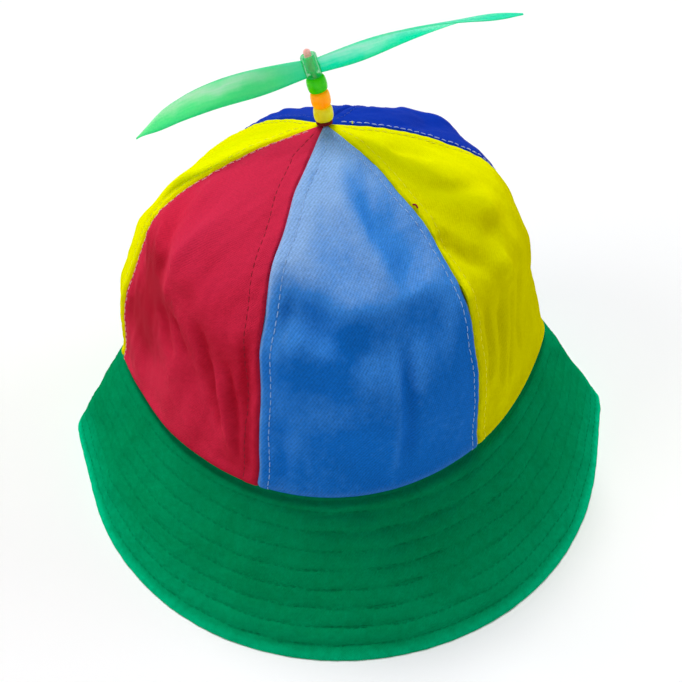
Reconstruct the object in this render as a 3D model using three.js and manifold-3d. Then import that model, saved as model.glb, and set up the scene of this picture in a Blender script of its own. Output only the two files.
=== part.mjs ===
// A brimmed cotton hat with a propeller on top: six crown panels, a quilted brim, a cord through
// three beads, and a propeller that spins on the cord.
// Millimetres, +Z up. The hat lies on its brim on the plane z = 0, with its front towards -Y.
// An azimuth is in degrees, 0 at the front and growing towards +X.
import * as THREE from "three";
import { mergeVertices } from "three/addons/utils/BufferGeometryUtils.js";
import Module from "manifold-3d";

const wasm = await Module();
wasm.setup();

// Crown
const crownHalfWidth = 91;
const crownHalfLength = 98;
const crownHeight = 109;
const crownWall = 1.5;
const crownLean = 1;
const panelTurn = 8.5;
const seamTwist = 3;
const seamGap = 0.3;
const apexHoleRadius = 2;
const roundingStart = 0.2;

// Seam between crown and brim
const brimSeamHeight = 51;
const brimSeamRise = 4.5;
const brimSeamGap = 0.4;

// Side creases, where the hat was folded flat. They run a little further back at the brim's edge.
const creaseAzimuth = 84;
const creaseEdgeTurn = 6;
const crownCrease = 7;
const crownCreaseSpread = 12.5;
const brimCrease = 3.7;
const brimCreaseSpread = 7.8;
const creaseRounding = 3.5;

// Brim
const brimSpreadFront = 43.2;
const brimSpreadSide = 31.5;
const brimSkew = 1.6;
const brimThickness = 2;
const brimBow = 1.2;

// Cord post
const postRadius = 0.9;
const postFootLean = 3;
const postTopLean = 14;
const knotOverhang = 2;
const knotThickness = 2.5;
const wrapOverhang = 0.8;
const wrapHeight = 0.9;
const loopSwell = 0.5;
const loopRise = 1.6;

// Beads
const beadRadius = 4;
const beadHeight = 5.9;
const beadClearance = 0.4;
const beadEndRim = 1.3;
const stackGap = 0.3;

// Propeller
const hubFootWall = 0.7;
const hubTopWall = 1.1;
const hubHeight = 8.8;
const hubFloor = 2;
const hubClearance = 0.3;
const hubLoopClearance = 1.1;
const bladeLength = 80;
const bladeChord = 12;
const bladeThickness = 1.2;
const bladeEdgeShare = 0.5;
const bladeSweep = 12;
const bladeRootHeight = 3.5;
const bladeDroopRight = -1.3;
const bladeDroopLeft = 12.5;

// Fineness of the facets
const panelColumns = 10;
const panelRows = 18;
const brimColumns = 96;
const brimRows = 4;
const postSides = 12;
const loopRoundSteps = 4;
const beadSides = 16;
const beadProfileSteps = 8;
const hubSides = 24;
const bladeSteps = 20;

// Steps of the slope measured on the crown, and halvings of the search for a radius on it
const slopeTurn = 0.5;
const slopeShare = 0.01;
const radiusHalvings = 30;

// The crown's outline from its seam to its tip: reach is a share of the half width or length at
// the seam, height a share of the crown's height. The rows are about evenly spaced on the cloth.
const crownSections = [
  { reach: 1, height: 0 },
  { reach: 0.98, height: 0.2 },
  { reach: 0.94, height: 0.4 },
  { reach: 0.85, height: 0.6 },
  { reach: 0.715, height: 0.75 },
  { reach: 0.485, height: 0.87 },
  { reach: 0.245, height: 0.95 },
  { reach: 0, height: 1 },
];

// Broad swells of the soft crown: lobes round the crown, the azimuth of one peak, the swell as a
// share of the reach, the height share of its middle and how far it spreads up and down.
const crownSwells = [
  { lobes: 3, peak: 13, swell: 0.055, height: 0.35, spread: 0.22 },
  { lobes: 2, peak: 85, swell: 0.018, height: 0.35, spread: 0.22 },
  { lobes: 2, peak: -50, swell: 0.072, height: 0.8, spread: 0.18 },
  { lobes: 3, peak: -55, swell: 0.022, height: 0.8, spread: 0.18 },
  { lobes: 6, peak: 11, swell: 0.01, height: 0.75, spread: 0.3 },
];

// Dents and ridges pressed into the cloth: middle by azimuth and height share, half size round
// the crown in degrees and up it as a height share, depth as a share of the reach (out is plus).
const crownDents = [
  { azimuth: -140, height: 0.8, across: 22, up: 0.16, depth: 0.015 },
  { azimuth: -105, height: 0.8, across: 22, up: 0.16, depth: -0.042 },
  { azimuth: -105, height: 0.55, across: 22, up: 0.16, depth: 0.01 },
  { azimuth: -70, height: 0.55, across: 22, up: 0.16, depth: -0.021 },
  { azimuth: -70, height: 0.8, across: 22, up: 0.16, depth: 0.016 },
  { azimuth: 70, height: 0.55, across: 22, up: 0.16, depth: 0.034 },
  { azimuth: 140, height: 0.8, across: 22, up: 0.16, depth: 0.018 },
  { azimuth: 18, height: 0.62, across: 7, up: 0.16, depth: -0.018 },
  { azimuth: 2, height: 0.6, across: 8, up: 0.15, depth: 0.016 },
  { azimuth: -12, height: 0.42, across: 9, up: 0.08, depth: -0.016 },
  { azimuth: 4, height: 0.3, across: 9, up: 0.07, depth: 0.012 },
  { azimuth: 45, height: 0.72, across: 10, up: 0.08, depth: -0.018 },
  { azimuth: 62, height: 0.5, across: 8, up: 0.1, depth: -0.014 },
  { azimuth: -38, height: 0.28, across: 5, up: 0.2, depth: -0.012 },
  { azimuth: -52, height: 0.25, across: 5, up: 0.2, depth: 0.01 },
  { azimuth: -66, height: 0.25, across: 5, up: 0.2, depth: -0.012 },
];

// Blade stations from the hub's axis to the tip: chord as a share of bladeChord, pitch in degrees
// from flat, and sweep towards the leading edge as a share of bladeSweep.
const bladeStations = [
  { out: 0, chord: 0.53, pitch: 76, sweep: 0 },
  { out: 0.25, chord: 0.84, pitch: 64, sweep: 0.08 },
  { out: 0.5, chord: 0.95, pitch: 41, sweep: 0.3 },
  { out: 0.7, chord: 1.02, pitch: 23, sweep: 0.52 },
  { out: 0.85, chord: 0.96, pitch: 11, sweep: 0.72 },
  { out: 1, chord: 0.06, pitch: 0, sweep: 0.92 },
];

const panels = [
  { name: "crown_panel_sky_blue", color: 0x3c7dcd },
  { name: "crown_panel_yellow_right", color: 0xe6e600 },
  { name: "crown_panel_royal_blue_right", color: 0x143296 },
  { name: "crown_panel_royal_blue_back", color: 0x143296 },
  { name: "crown_panel_yellow_left", color: 0xe6e600 },
  { name: "crown_panel_red", color: 0xbe1e3c },
];

const beads = [
  { name: "bead_yellow", color: 0xd7cd28 },
  { name: "bead_orange", color: 0xff9614 },
  { name: "bead_green", color: 0x4bcd00 },
];

const panelCount = panels.length;
const loopRadius = postRadius + loopSwell;
const hubInnerRadius = loopRadius + hubLoopClearance;
const hubFootRadius = hubInnerRadius + hubFootWall;
const hubTopRadius = hubInnerRadius + hubTopWall;

const radians = THREE.MathUtils.degToRad;
const crownMeanRadius = (crownHalfWidth + crownHalfLength) / 2;
const crownProfile = new THREE.SplineCurve(
  crownSections.map(({ reach, height }) => new THREE.Vector2(reach, height)),
);

// An azimuth as a turn from the front, between -180 and 180 degrees.
function turnFromFront(azimuth) {
  return THREE.MathUtils.euclideanModulo(azimuth + 180, 360) - 180;
}

// Falls off from 1 on either side crease, with a rounded ridge there.
function creaseShare(azimuth, spread) {
  const offCrease = Math.abs(turnFromFront(azimuth)) - creaseAzimuth;
  return Math.exp((creaseRounding - Math.hypot(offCrease, creaseRounding)) / spread);
}

// How far the cloth stands out at an azimuth and height share, as a share of the smooth reach.
function softShare(azimuth, height) {
  let share = 1;
  for (const { lobes, peak, swell, height: middle, spread } of crownSwells) {
    const fade = Math.exp(-(((height - middle) / spread) ** 2));
    share += swell * fade * Math.cos(radians(lobes * (azimuth - peak)));
  }
  for (const { azimuth: middle, height: at, across, up, depth } of crownDents) {
    const turn = turnFromFront(azimuth - middle);
    share += depth * Math.exp(-((turn / across) ** 2) - ((height - at) / up) ** 2);
  }
  return share;
}

// A point of the crown's outside at an azimuth and a share of the way up the cloth.
function crownPoint(azimuth, along) {
  const { x: reach, y: height } = crownProfile.getPoint(THREE.MathUtils.clamp(along, 0, 1));
  const rounding = THREE.MathUtils.smoothstep(height, roundingStart, 1);
  const halfWidth = THREE.MathUtils.lerp(crownHalfWidth, crownMeanRadius, rounding);
  const halfLength = THREE.MathUtils.lerp(crownHalfLength, crownMeanRadius, rounding);
  const atSeam = (1 - height) ** 2;
  const crease = crownCrease * creaseShare(azimuth, crownCreaseSpread) * atSeam;
  const share = reach * softShare(azimuth, height);
  const turn = radians(azimuth);
  return new THREE.Vector3(
    Math.sin(turn) * (halfWidth * share + crease) + crownLean * height,
    -Math.cos(turn) * (halfLength * share + crease),
    brimSeamHeight + crownHeight * height - brimSeamRise * Math.cos(2 * turn) * atSeam,
  );
}

// The crown's inside, one cloth thickness in from the outside.
function crownInnerPoint(azimuth, along) {
  const right = crownPoint(azimuth + slopeTurn, along);
  const left = crownPoint(azimuth - slopeTurn, along);
  const above = crownPoint(azimuth, along + slopeShare);
  const below = crownPoint(azimuth, along - slopeShare);
  const sideways = right.sub(left);
  const upwards = above.sub(below);
  const outwards = sideways.cross(upwards).normalize();
  return crownPoint(azimuth, along).addScaledVector(outwards, -crownWall);
}

// The share of the way up the cloth where the crown is still a given radius across.
function alongAtRadius(radius) {
  let low = 0;
  let high = 1;
  for (let halving = 0; halving < radiusHalvings; halving += 1) {
    const middle = (low + high) / 2;
    const isWide = crownProfile.getPoint(middle).x * crownMeanRadius > radius;
    if (isWide) low = middle;
    else high = middle;
  }
  return low;
}

// The azimuth of a panel seam, which turns a little on its way up.
function seamAzimuth(seam, along) {
  const height = crownProfile.getPoint(along).y;
  return panelTurn + ((seam - 0.5) * 360) / panelCount + seamTwist * height;
}

// A closed wall between an outer and an inner surface, both given over shares 0 to 1.
// A ring joins its last column to its first.
function wallGeometry(outerPoint, innerPoint, columns, rows, isRing) {
  const positions = [];
  const across = isRing ? columns : columns + 1;
  for (const pointAt of [outerPoint, innerPoint]) {
    for (let row = 0; row <= rows; row += 1) {
      for (let column = 0; column < across; column += 1) {
        positions.push(...pointAt(column / columns, row / rows));
      }
    }
  }
  const innerStart = across * (rows + 1);
  const outer = (column, row) => row * across + (column % across);
  const inner = (column, row) => innerStart + outer(column, row);
  const indices = [];
  const quad = (a, b, c, d) => indices.push(a, b, c, a, c, d);
  for (let row = 0; row < rows; row += 1) {
    for (let column = 0; column < columns; column += 1) {
      const [next, above] = [column + 1, row + 1];
      quad(outer(column, row), outer(next, row), outer(next, above), outer(column, above));
      quad(inner(column, row), inner(column, above), inner(next, above), inner(next, row));
    }
    if (!isRing) {
      const above = row + 1;
      quad(outer(0, row), outer(0, above), inner(0, above), inner(0, row));
      quad(outer(columns, row), inner(columns, row), inner(columns, above), outer(columns, above));
    }
  }
  for (let column = 0; column < columns; column += 1) {
    const next = column + 1;
    quad(outer(column, 0), inner(column, 0), inner(next, 0), outer(next, 0));
    quad(outer(column, rows), outer(next, rows), inner(next, rows), inner(column, rows));
  }
  return meshGeometry(positions, indices);
}

function meshGeometry(positions, indices) {
  const geometry = new THREE.BufferGeometry();
  geometry.setAttribute("position", new THREE.Float32BufferAttribute(positions, 3));
  geometry.setIndex(indices);
  geometry.computeVertexNormals();
  return geometry;
}

// One crown panel, from its seam on the one side to its seam on the other.
function panelGeometry(panel) {
  const top = alongAtRadius(apexHoleRadius);
  const place = (column, row) => {
    const along = row * top;
    const radius = crownProfile.getPoint(along).x * crownMeanRadius;
    const trim = THREE.MathUtils.radToDeg(seamGap / 2 / radius);
    const start = seamAzimuth(panel, along) + trim;
    const end = seamAzimuth(panel + 1, along) - trim;
    return [THREE.MathUtils.lerp(start, end, column), along];
  };
  return wallGeometry(
    (column, row) => crownPoint(...place(column, row)),
    (column, row) => crownInnerPoint(...place(column, row)),
    panelColumns,
    panelRows,
    false,
  );
}

// The level direction out from the middle of the hat.
function outwardsAt(azimuth) {
  const turn = radians(azimuth);
  return new THREE.Vector3(Math.sin(turn), -Math.cos(turn), 0);
}

// A point of the brim's edge. It lies further out than the seam, and further back beside it.
function brimEdgePoint(azimuth) {
  const turn = radians(azimuth);
  const seam = crownPoint(azimuth, 0);
  const spreadGain = (brimSpreadFront - brimSpreadSide) * Math.cos(turn) ** 2;
  const crease = brimCrease * creaseShare(azimuth, brimCreaseSpread);
  const skew = brimSkew * Math.sin(2 * turn);
  const reach = Math.hypot(seam.x, seam.y) + brimSpreadSide + spreadGain + crease + skew;
  return outwardsAt(azimuth + creaseEdgeTurn * Math.sin(turn)).multiplyScalar(reach);
}

// A point of the brim's upper side, from the crown seam (down 0) to the edge (down 1).
function brimPoint(azimuth, down) {
  const seam = crownPoint(azimuth, 0);
  seam.z -= brimSeamGap;
  const bow = brimBow * 4 * down * (1 - down);
  return seam.lerp(brimEdgePoint(azimuth), down).addScaledVector(outwardsAt(azimuth), bow);
}

// The brim's under side, moved in so that the sloping brim keeps its thickness.
function brimUnderPoint(azimuth, down) {
  const slant = brimPoint(azimuth, 1).sub(brimPoint(azimuth, 0));
  const moveIn = (brimThickness * slant.length()) / Math.abs(slant.z);
  return brimPoint(azimuth, down).addScaledVector(outwardsAt(azimuth), -moveIn);
}

function brimGeometry() {
  const azimuthAt = (column) => column * 360;
  return wallGeometry(
    (column, row) => brimUnderPoint(azimuthAt(column), row),
    (column, row) => brimPoint(azimuthAt(column), row),
    brimColumns,
    brimRows,
    true,
  );
}

// Heights along the cord, from the crown's top
const wrapStart = stackGap;
const firstBeadStart = wrapStart + wrapHeight + stackGap;
const beadPitch = beadHeight + stackGap;
const hubStart = firstBeadStart + beads.length * beadPitch;
const loopStart = hubStart + hubFloor + stackGap;
const loopEnd = hubStart + hubHeight + loopRise;

// The place and lean of the cord at a distance along it. It bends evenly up to the propeller.
function postFrame(distance) {
  const bent = THREE.MathUtils.clamp(distance, 0, hubStart);
  const footLean = radians(postFootLean);
  const bendRadius = hubStart / (radians(postTopLean) - footLean);
  const lean = footLean + bent / bendRadius;
  const axis = new THREE.Vector3(-Math.sin(lean), 0, Math.cos(lean));
  const side = new THREE.Vector3(Math.cos(lean), 0, Math.sin(lean));
  const place = new THREE.Vector3(
    crownLean - bendRadius * (Math.cos(footLean) - Math.cos(lean)),
    0,
    brimSeamHeight + crownHeight + bendRadius * (Math.sin(lean) - Math.sin(footLean)),
  );
  place.addScaledVector(axis, distance - bent);
  const frame = new THREE.Matrix4().makeBasis(side, new THREE.Vector3(0, 1, 0), axis);
  return frame.setPosition(place);
}

// Rings round the cord, one for each row of distance and radius, closed at both ends.
function turnedAlongPost(rows) {
  const positions = [];
  const indices = [];
  for (const { distance, radius } of rows) {
    const frame = postFrame(distance);
    for (let side = 0; side < postSides; side += 1) {
      const turn = (side / postSides) * 2 * Math.PI;
      const onRing = new THREE.Vector3(radius * Math.cos(turn), radius * Math.sin(turn), 0);
      positions.push(...onRing.applyMatrix4(frame));
    }
  }
  for (let row = 0; row + 1 < rows.length; row += 1) {
    for (let side = 0; side < postSides; side += 1) {
      const next = (side + 1) % postSides;
      const [a, b] = [row * postSides + side, row * postSides + next];
      indices.push(a, b, b + postSides, a, b + postSides, a + postSides);
    }
  }
  const footPole = positions.length / 3;
  const topRing = (rows.length - 1) * postSides;
  for (const end of [rows[0], rows[rows.length - 1]]) {
    positions.push(...new THREE.Vector3().applyMatrix4(postFrame(end.distance)));
  }
  for (let side = 0; side < postSides; side += 1) {
    const next = (side + 1) % postSides;
    indices.push(footPole, next, side, footPole + 1, topRing + side, topRing + next);
  }
  return meshGeometry(positions, indices);
}

// The knot's upper side lies against the inside of the crown, which falls away from its tip.
function knotSeatDepth(knotRadius) {
  const tip = crownProfile.getPoint(1).y;
  const rim = crownProfile.getPoint(alongAtRadius(knotRadius)).y;
  return crownWall + (tip - rim) * crownHeight + stackGap * 2;
}

// The cord as one piece: knot under the crown, wrap on top, shaft, and the round loop in the hub.
function postGeometry() {
  const knotRadius = apexHoleRadius + knotOverhang;
  const knotTop = -knotSeatDepth(knotRadius);
  const wrapRadius = apexHoleRadius + wrapOverhang;
  const rows = [
    { distance: knotTop - knotThickness, radius: knotRadius / 2 },
    { distance: knotTop - knotThickness / 2, radius: knotRadius },
    { distance: knotTop, radius: knotRadius },
    { distance: knotTop, radius: postRadius },
    { distance: wrapStart, radius: postRadius },
    { distance: wrapStart, radius: wrapRadius },
    { distance: wrapStart + wrapHeight, radius: wrapRadius },
    { distance: wrapStart + wrapHeight, radius: postRadius },
  ];
  const shaftSteps = beads.length;
  for (let step = 1; step <= shaftSteps; step += 1) {
    rows.push({ distance: firstBeadStart + step * beadPitch, radius: postRadius });
  }
  rows.push({ distance: loopStart, radius: postRadius });
  rows.push({ distance: loopStart, radius: loopRadius });
  for (let step = 0; step < loopRoundSteps; step += 1) {
    const turn = (step / loopRoundSteps) * (Math.PI / 2);
    const distance = loopEnd - loopRadius + loopRadius * Math.sin(turn);
    rows.push({ distance, radius: loopRadius * Math.cos(turn) });
  }
  return turnedAlongPost(rows);
}

// A round barrel bead with a hole for the cord, centred on its own middle.
function beadGeometry() {
  const hole = postRadius + beadClearance;
  const endRadius = hole + beadEndRim;
  const profile = [new THREE.Vector2(hole, -beadHeight / 2)];
  for (let step = 0; step <= beadProfileSteps; step += 1) {
    const turn = (step / beadProfileSteps - 0.5) * Math.PI;
    const bulge = Math.sqrt(Math.max(0, Math.cos(turn)));
    const radius = THREE.MathUtils.lerp(endRadius, beadRadius, bulge);
    profile.push(new THREE.Vector2(radius, (beadHeight / 2) * Math.sin(turn)));
  }
  profile.push(new THREE.Vector2(hole, beadHeight / 2), profile[0].clone());
  return new THREE.LatheGeometry(profile, beadSides).rotateX(Math.PI / 2);
}

// A cup with a hole in its floor, which turns on the cord.
function hubGeometry() {
  const hole = postRadius + hubClearance;
  const profile = [
    new THREE.Vector2(hole, 0),
    new THREE.Vector2(hubFootRadius, 0),
    new THREE.Vector2(hubTopRadius, hubHeight),
    new THREE.Vector2(hubInnerRadius, hubHeight),
    new THREE.Vector2(hubInnerRadius, hubFloor),
    new THREE.Vector2(hole, hubFloor),
    new THREE.Vector2(hole, 0),
  ];
  return new THREE.LatheGeometry(profile, hubSides).rotateX(Math.PI / 2);
}

// A blade's chord, pitch and sweep at a share of its length, joined smoothly between stations.
function bladeSection(out) {
  const upper = Math.max(1, bladeStations.findIndex((station) => station.out >= out));
  const [from, to] = [bladeStations[upper - 1], bladeStations[upper]];
  const before = bladeStations[Math.max(0, upper - 2)];
  const after = bladeStations[Math.min(bladeStations.length - 1, upper + 1)];
  const span = to.out - from.out;
  const share = (out - from.out) / span;
  const smooth = (key) => {
    const slopeFrom = ((to[key] - before[key]) / (to.out - before.out)) * span;
    const slopeTo = ((after[key] - from[key]) / (after.out - from.out)) * span;
    const square = share * share;
    const cube = square * share;
    return (
      (2 * cube - 3 * square + 1) * from[key] +
      (cube - 2 * square + share) * slopeFrom +
      (3 * square - 2 * cube) * to[key] +
      (cube - square) * slopeTo
    );
  };
  return {
    chord: bladeChord * Math.max(smooth("chord"), bladeStations.at(-1).chord),
    pitch: radians(smooth("pitch")),
    sweep: bladeSweep * smooth("sweep"),
  };
}

// One twisted blade along +X, thinner at its edges, which droops towards its tip.
function bladeGeometry(tipDroop) {
  const rootStart = (hubInnerRadius + hubFootRadius) / 2;
  const corners = [
    { along: -1, thick: -bladeEdgeShare },
    { along: 0, thick: -1 },
    { along: 1, thick: -bladeEdgeShare },
    { along: 1, thick: bladeEdgeShare },
    { along: 0, thick: 1 },
    { along: -1, thick: bladeEdgeShare },
  ];
  const positions = [];
  for (let step = 0; step <= bladeSteps; step += 1) {
    const x = THREE.MathUtils.lerp(rootStart, bladeLength, step / bladeSteps);
    const out = x / bladeLength;
    const { chord, pitch, sweep } = bladeSection(out);
    const middle = new THREE.Vector3(x, 0, bladeRootHeight - tipDroop * out ** 2);
    const chordwise = new THREE.Vector3(0, -Math.cos(pitch), Math.sin(pitch));
    const upwards = new THREE.Vector3(0, Math.sin(pitch), Math.cos(pitch));
    for (const { along, thick } of corners) {
      const corner = middle.clone().addScaledVector(chordwise, sweep + (along * chord) / 2);
      positions.push(...corner.addScaledVector(upwards, (thick * bladeThickness) / 2));
    }
  }
  const count = corners.length;
  const indices = [];
  for (let step = 0; step < bladeSteps; step += 1) {
    for (let corner = 0; corner < count; corner += 1) {
      const next = (corner + 1) % count;
      const [a, b] = [step * count + corner, step * count + next];
      indices.push(a, a + count, b + count, a, b + count, b);
    }
  }
  const tip = bladeSteps * count;
  for (let corner = 1; corner + 1 < count; corner += 1) {
    indices.push(0, corner, corner + 1, tip, tip + corner + 1, tip + corner);
  }
  return meshGeometry(positions, indices);
}

function solidOf(geometry) {
  const bare = new THREE.BufferGeometry();
  bare.setAttribute("position", geometry.getAttribute("position"));
  bare.setIndex(geometry.index);
  const merged = mergeVertices(bare);
  const vertProperties = merged.getAttribute("position").array;
  const triVerts = new Uint32Array(merged.index.array);
  return new wasm.Manifold(new wasm.Mesh({ numProp: 3, vertProperties, triVerts }));
}

// Hub and both blades as one moulded piece. The left blade is the right one turned half round.
function propellerGeometry() {
  const right = bladeGeometry(bladeDroopRight);
  const left = bladeGeometry(bladeDroopLeft).rotateZ(Math.PI);
  const solid = solidOf(hubGeometry()).add(solidOf(right)).add(solidOf(left));
  const { vertProperties, triVerts } = solid.getMesh();
  return meshGeometry(vertProperties, [...triVerts]);
}

function namedMesh(name, geometry, color, roughness) {
  const material = new THREE.MeshStandardMaterial({ color, roughness, metalness: 0 });
  const mesh = new THREE.Mesh(geometry, material);
  mesh.name = name;
  return mesh;
}

const clothRoughness = 0.9;
const beadRoughness = 0.3;
const plasticRoughness = 0.25;

function hatGroup() {
  const group = new THREE.Group();
  panels.forEach(({ name, color }, panel) => {
    group.add(namedMesh(name, panelGeometry(panel), color, clothRoughness));
  });
  group.add(namedMesh("brim", brimGeometry(), 0x00824b, clothRoughness));
  group.add(namedMesh("post", postGeometry(), 0xd2828c, clothRoughness));
  beads.forEach(({ name, color }, bead) => {
    const mesh = namedMesh(name, beadGeometry(), color, beadRoughness);
    mesh.applyMatrix4(postFrame(firstBeadStart + bead * beadPitch + beadHeight / 2));
    group.add(mesh);
  });
  return group;
}

function propellerGroup() {
  const group = new THREE.Group();
  group.applyMatrix4(postFrame(hubStart));
  group.add(namedMesh("propeller", propellerGeometry(), 0x28d282, plasticRoughness));
  return group;
}

const hat = new THREE.Group();
hat.add(hatGroup(), propellerGroup());

// The origin is under the middle of the hat.
const middle = new THREE.Box3().setFromObject(hat).getCenter(new THREE.Vector3());
hat.position.set(-middle.x, -middle.y, 0);

export default hat;
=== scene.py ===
import logging
import math
from dataclasses import dataclass
from enum import Enum

import bpy
import numpy as np
from mathutils import Matrix, Vector


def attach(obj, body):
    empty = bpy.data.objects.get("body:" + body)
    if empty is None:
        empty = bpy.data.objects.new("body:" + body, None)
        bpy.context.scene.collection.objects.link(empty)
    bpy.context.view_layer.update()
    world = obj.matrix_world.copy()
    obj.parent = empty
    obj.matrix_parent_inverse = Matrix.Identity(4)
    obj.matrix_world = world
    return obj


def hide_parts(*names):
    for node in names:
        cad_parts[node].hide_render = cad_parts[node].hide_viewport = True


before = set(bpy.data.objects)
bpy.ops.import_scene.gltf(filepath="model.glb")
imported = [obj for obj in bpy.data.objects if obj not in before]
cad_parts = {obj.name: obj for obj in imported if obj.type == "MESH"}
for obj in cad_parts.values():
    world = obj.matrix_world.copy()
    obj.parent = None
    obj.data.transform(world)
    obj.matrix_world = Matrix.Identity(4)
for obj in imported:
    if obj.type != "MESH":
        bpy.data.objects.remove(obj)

log = logging.getLogger("propeller_hat")

# Sizes in this file are in millimetres and angles in degrees, unless a name says otherwise.
# An azimuth is 0 at the hat's front, towards -Y, and grows towards +X.
METRES = 0.001
HAT = "hat"
PROPELLER = "propeller"
MIDDLE = np.array([-0.19, 0.34, 0.0])
# Direction from which light and shade are painted onto the crown cloth.
WINDOW = np.array([-0.35, 0.05, 0.93])
FULL_TURN = 2.0 * math.pi
RIB_SCALE = math.pi / 10.0
Rgb = tuple[int, int, int]
Faces = list[list[int]]


def linear(red: int, green: int, blue: int) -> tuple[float, float, float, float]:
    """Turns a screen colour into the colour that a shader takes.

    Args:
        red, green, blue: the screen colour, each from 0 to 255.

    Returns:
        The linear colour with an alpha of 1.
    """
    shares = np.array([red, green, blue]) / 255.0
    low, high = shares / 12.92, ((shares + 0.055) / 1.055) ** 2.4
    return (*np.where(shares <= 0.04045, low, high).tolist(), 1.0)


def smooth(value: np.ndarray, low: float, high: float) -> np.ndarray:
    """Rises smoothly from 0 at low to 1 at high."""
    share = np.clip((np.asarray(value, float) - low) / (high - low), 0.0, 1.0)
    return share * share * (3.0 - 2.0 * share)


def bell(distance: np.ndarray, width: float) -> np.ndarray:
    """Falls off from 1 on both sides of a distance of 0."""
    return np.exp(-((np.asarray(distance, float) / width) ** 2))


def turn_from_front(azimuth: np.ndarray) -> np.ndarray:
    """Gives an azimuth as a turn between -180 and 180 degrees."""
    return (np.asarray(azimuth, float) + 180.0) % 360.0 - 180.0


def unit(vectors: np.ndarray) -> np.ndarray:
    """Scales vectors, kept in the last axis, to a length of 1."""
    return vectors / np.maximum(np.linalg.norm(vectors, axis=-1, keepdims=True), 1e-9)


def around(count: int) -> np.ndarray:
    """Lists that many even turns round a circle, in radians."""
    return np.arange(count) / count * 2.0 * math.pi


def path_lengths(path: np.ndarray) -> np.ndarray:
    """Gives how far along a path each of its places is."""
    return np.concatenate([[0.0], np.cumsum(np.linalg.norm(np.diff(path, axis=0), axis=1))])


def laid_flat(along: np.ndarray, across: np.ndarray) -> np.ndarray:
    """Joins lengths along and across a surface into places on it, laid flat."""
    return np.stack(np.broadcast_arrays(along, across, 0.0), -1)


def facing_window(sheet: np.ndarray, rounds: int = 16) -> np.ndarray:
    """Says how far cloth faces the direction of the painted light, evened out over a few millimetres.

    Args:
        sheet: places on the cloth, row by row from low to high.
        rounds: how often each value is evened out with its neighbours.

    Returns:
        From -1 for cloth turned away to 1 for cloth that faces the light.
    """
    facing = unit(np.cross(np.gradient(sheet, axis=1), np.gradient(sheet, axis=0)))
    value = facing @ unit(WINDOW)
    for _ in range(rounds):
        wide = np.pad(value, 1, mode="edge")
        rows, columns = wide[:-2, 1:-1] + wide[2:, 1:-1], wide[1:-1, :-2] + wide[1:-1, 2:]
        value = (rows + columns + 4.0 * value) / 8.0
    return value


class Side(Enum):
    """The side of a panel or of the propeller, seen from outside with the hat upright."""

    LEFT = -1
    RIGHT = 1


class SoftNoise:
    """A smooth bumpy field over flat cloth, the same on every run."""

    WAVES = 36

    def __init__(self, seed: int, shortest: float, longest: float, stretch: float = 1.0) -> None:
        """Picks the waves that the field is made of.

        Args:
            seed: the seed of the draw.
            shortest: the shortest wave's length.
            longest: the longest wave's length.
            stretch: how many times longer a bump is along the cloth than across it.
        """
        draw = np.random.default_rng(seed)
        lengths = shortest * (longest / shortest) ** draw.random(self.WAVES)
        turns = draw.random(self.WAVES) * FULL_TURN
        waves = FULL_TURN / lengths
        self.across = waves * np.cos(turns)
        self.along = waves * np.sin(turns) / stretch
        self.start = draw.random(self.WAVES) * FULL_TURN
        self.share = (lengths / lengths.max()) ** 0.7
        self.share /= math.sqrt((self.share**2).sum() / 2.0)

    def at(self, across: np.ndarray, along: np.ndarray) -> np.ndarray:
        """Reads the field.

        Args:
            across: lengths across the cloth.
            along: lengths along it.

        Returns:
            The field's height there, about -1 to 1.
        """
        total = np.zeros(np.broadcast(across, along).shape)
        for wave in zip(self.across, self.along, self.start, self.share):
            wave_across, wave_along, start, share = wave
            total += share * np.sin(wave_across * across + wave_along * along + start)
        return total


class Grid:
    """Collects points and faces of one mesh and makes an object of them."""

    def __init__(self) -> None:
        """Starts with nothing in it."""
        self.points: list[np.ndarray] = []
        self.faces: Faces = []
        self.notes: dict[str, list[np.ndarray]] = {}
        self.count = 0

    def add(self, points: np.ndarray, faces: Faces, **notes: np.ndarray) -> None:
        """Adds points and the faces between them.

        Args:
            points: the places, one row each.
            faces: corner numbers, counted within these points.
            notes: values to keep for each point, by name.
        """
        flat = np.asarray(points, float).reshape(-1, 3)
        self.points.append(flat)
        self.faces.extend([[corner + self.count for corner in face] for face in faces])
        for name, values in notes.items():
            self.notes.setdefault(name, []).append(np.asarray(values, float))
        self.count += len(flat)

    def make(
        self, name: str, material: bpy.types.Material, sharp: float = 50.0
    ) -> bpy.types.Object:
        """Makes the object.

        Args:
            name: the object's name.
            material: what it is made of.
            sharp: the angle between faces from which an edge is drawn sharp.

        Returns:
            The new object, linked to the scene.
        """
        mesh = bpy.data.meshes.new(name)
        mesh.from_pydata((np.concatenate(self.points) * METRES).tolist(), [], self.faces)
        for note, parts in self.notes.items():
            values = np.concatenate(parts)
            kind, field = ("FLOAT_VECTOR", "vector") if values.ndim == 2 else ("FLOAT", "value")
            layer = mesh.attributes.new(note, kind, "POINT")
            layer.data.foreach_set(field, values.ravel().astype(np.float32))
        mesh.materials.append(material)
        mesh.shade_smooth()
        mesh.set_sharp_from_angle(angle=math.radians(sharp))
        made = bpy.data.objects.new(name, mesh)
        bpy.context.scene.collection.objects.link(made)
        return made


def strip_faces(rows: int, columns: int, closed: bool) -> Faces:
    """Lists the four-sided faces of a sheet of points kept row by row.

    Args:
        rows: number of rows of points.
        columns: number of points in a row.
        closed: whether the last column joins the first.

    Returns:
        The corner numbers of each face, with the front side where rows and columns turn left.
    """
    lefts = np.arange(columns if closed else columns - 1)
    row, left = np.meshgrid(np.arange(rows - 1) * columns, lefts, indexing="ij")
    right, above = (left + 1) % columns, row + columns
    corners = np.stack([row + left, row + right, above + right, above + left], -1)
    return corners.reshape(-1, 4).tolist()


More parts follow.
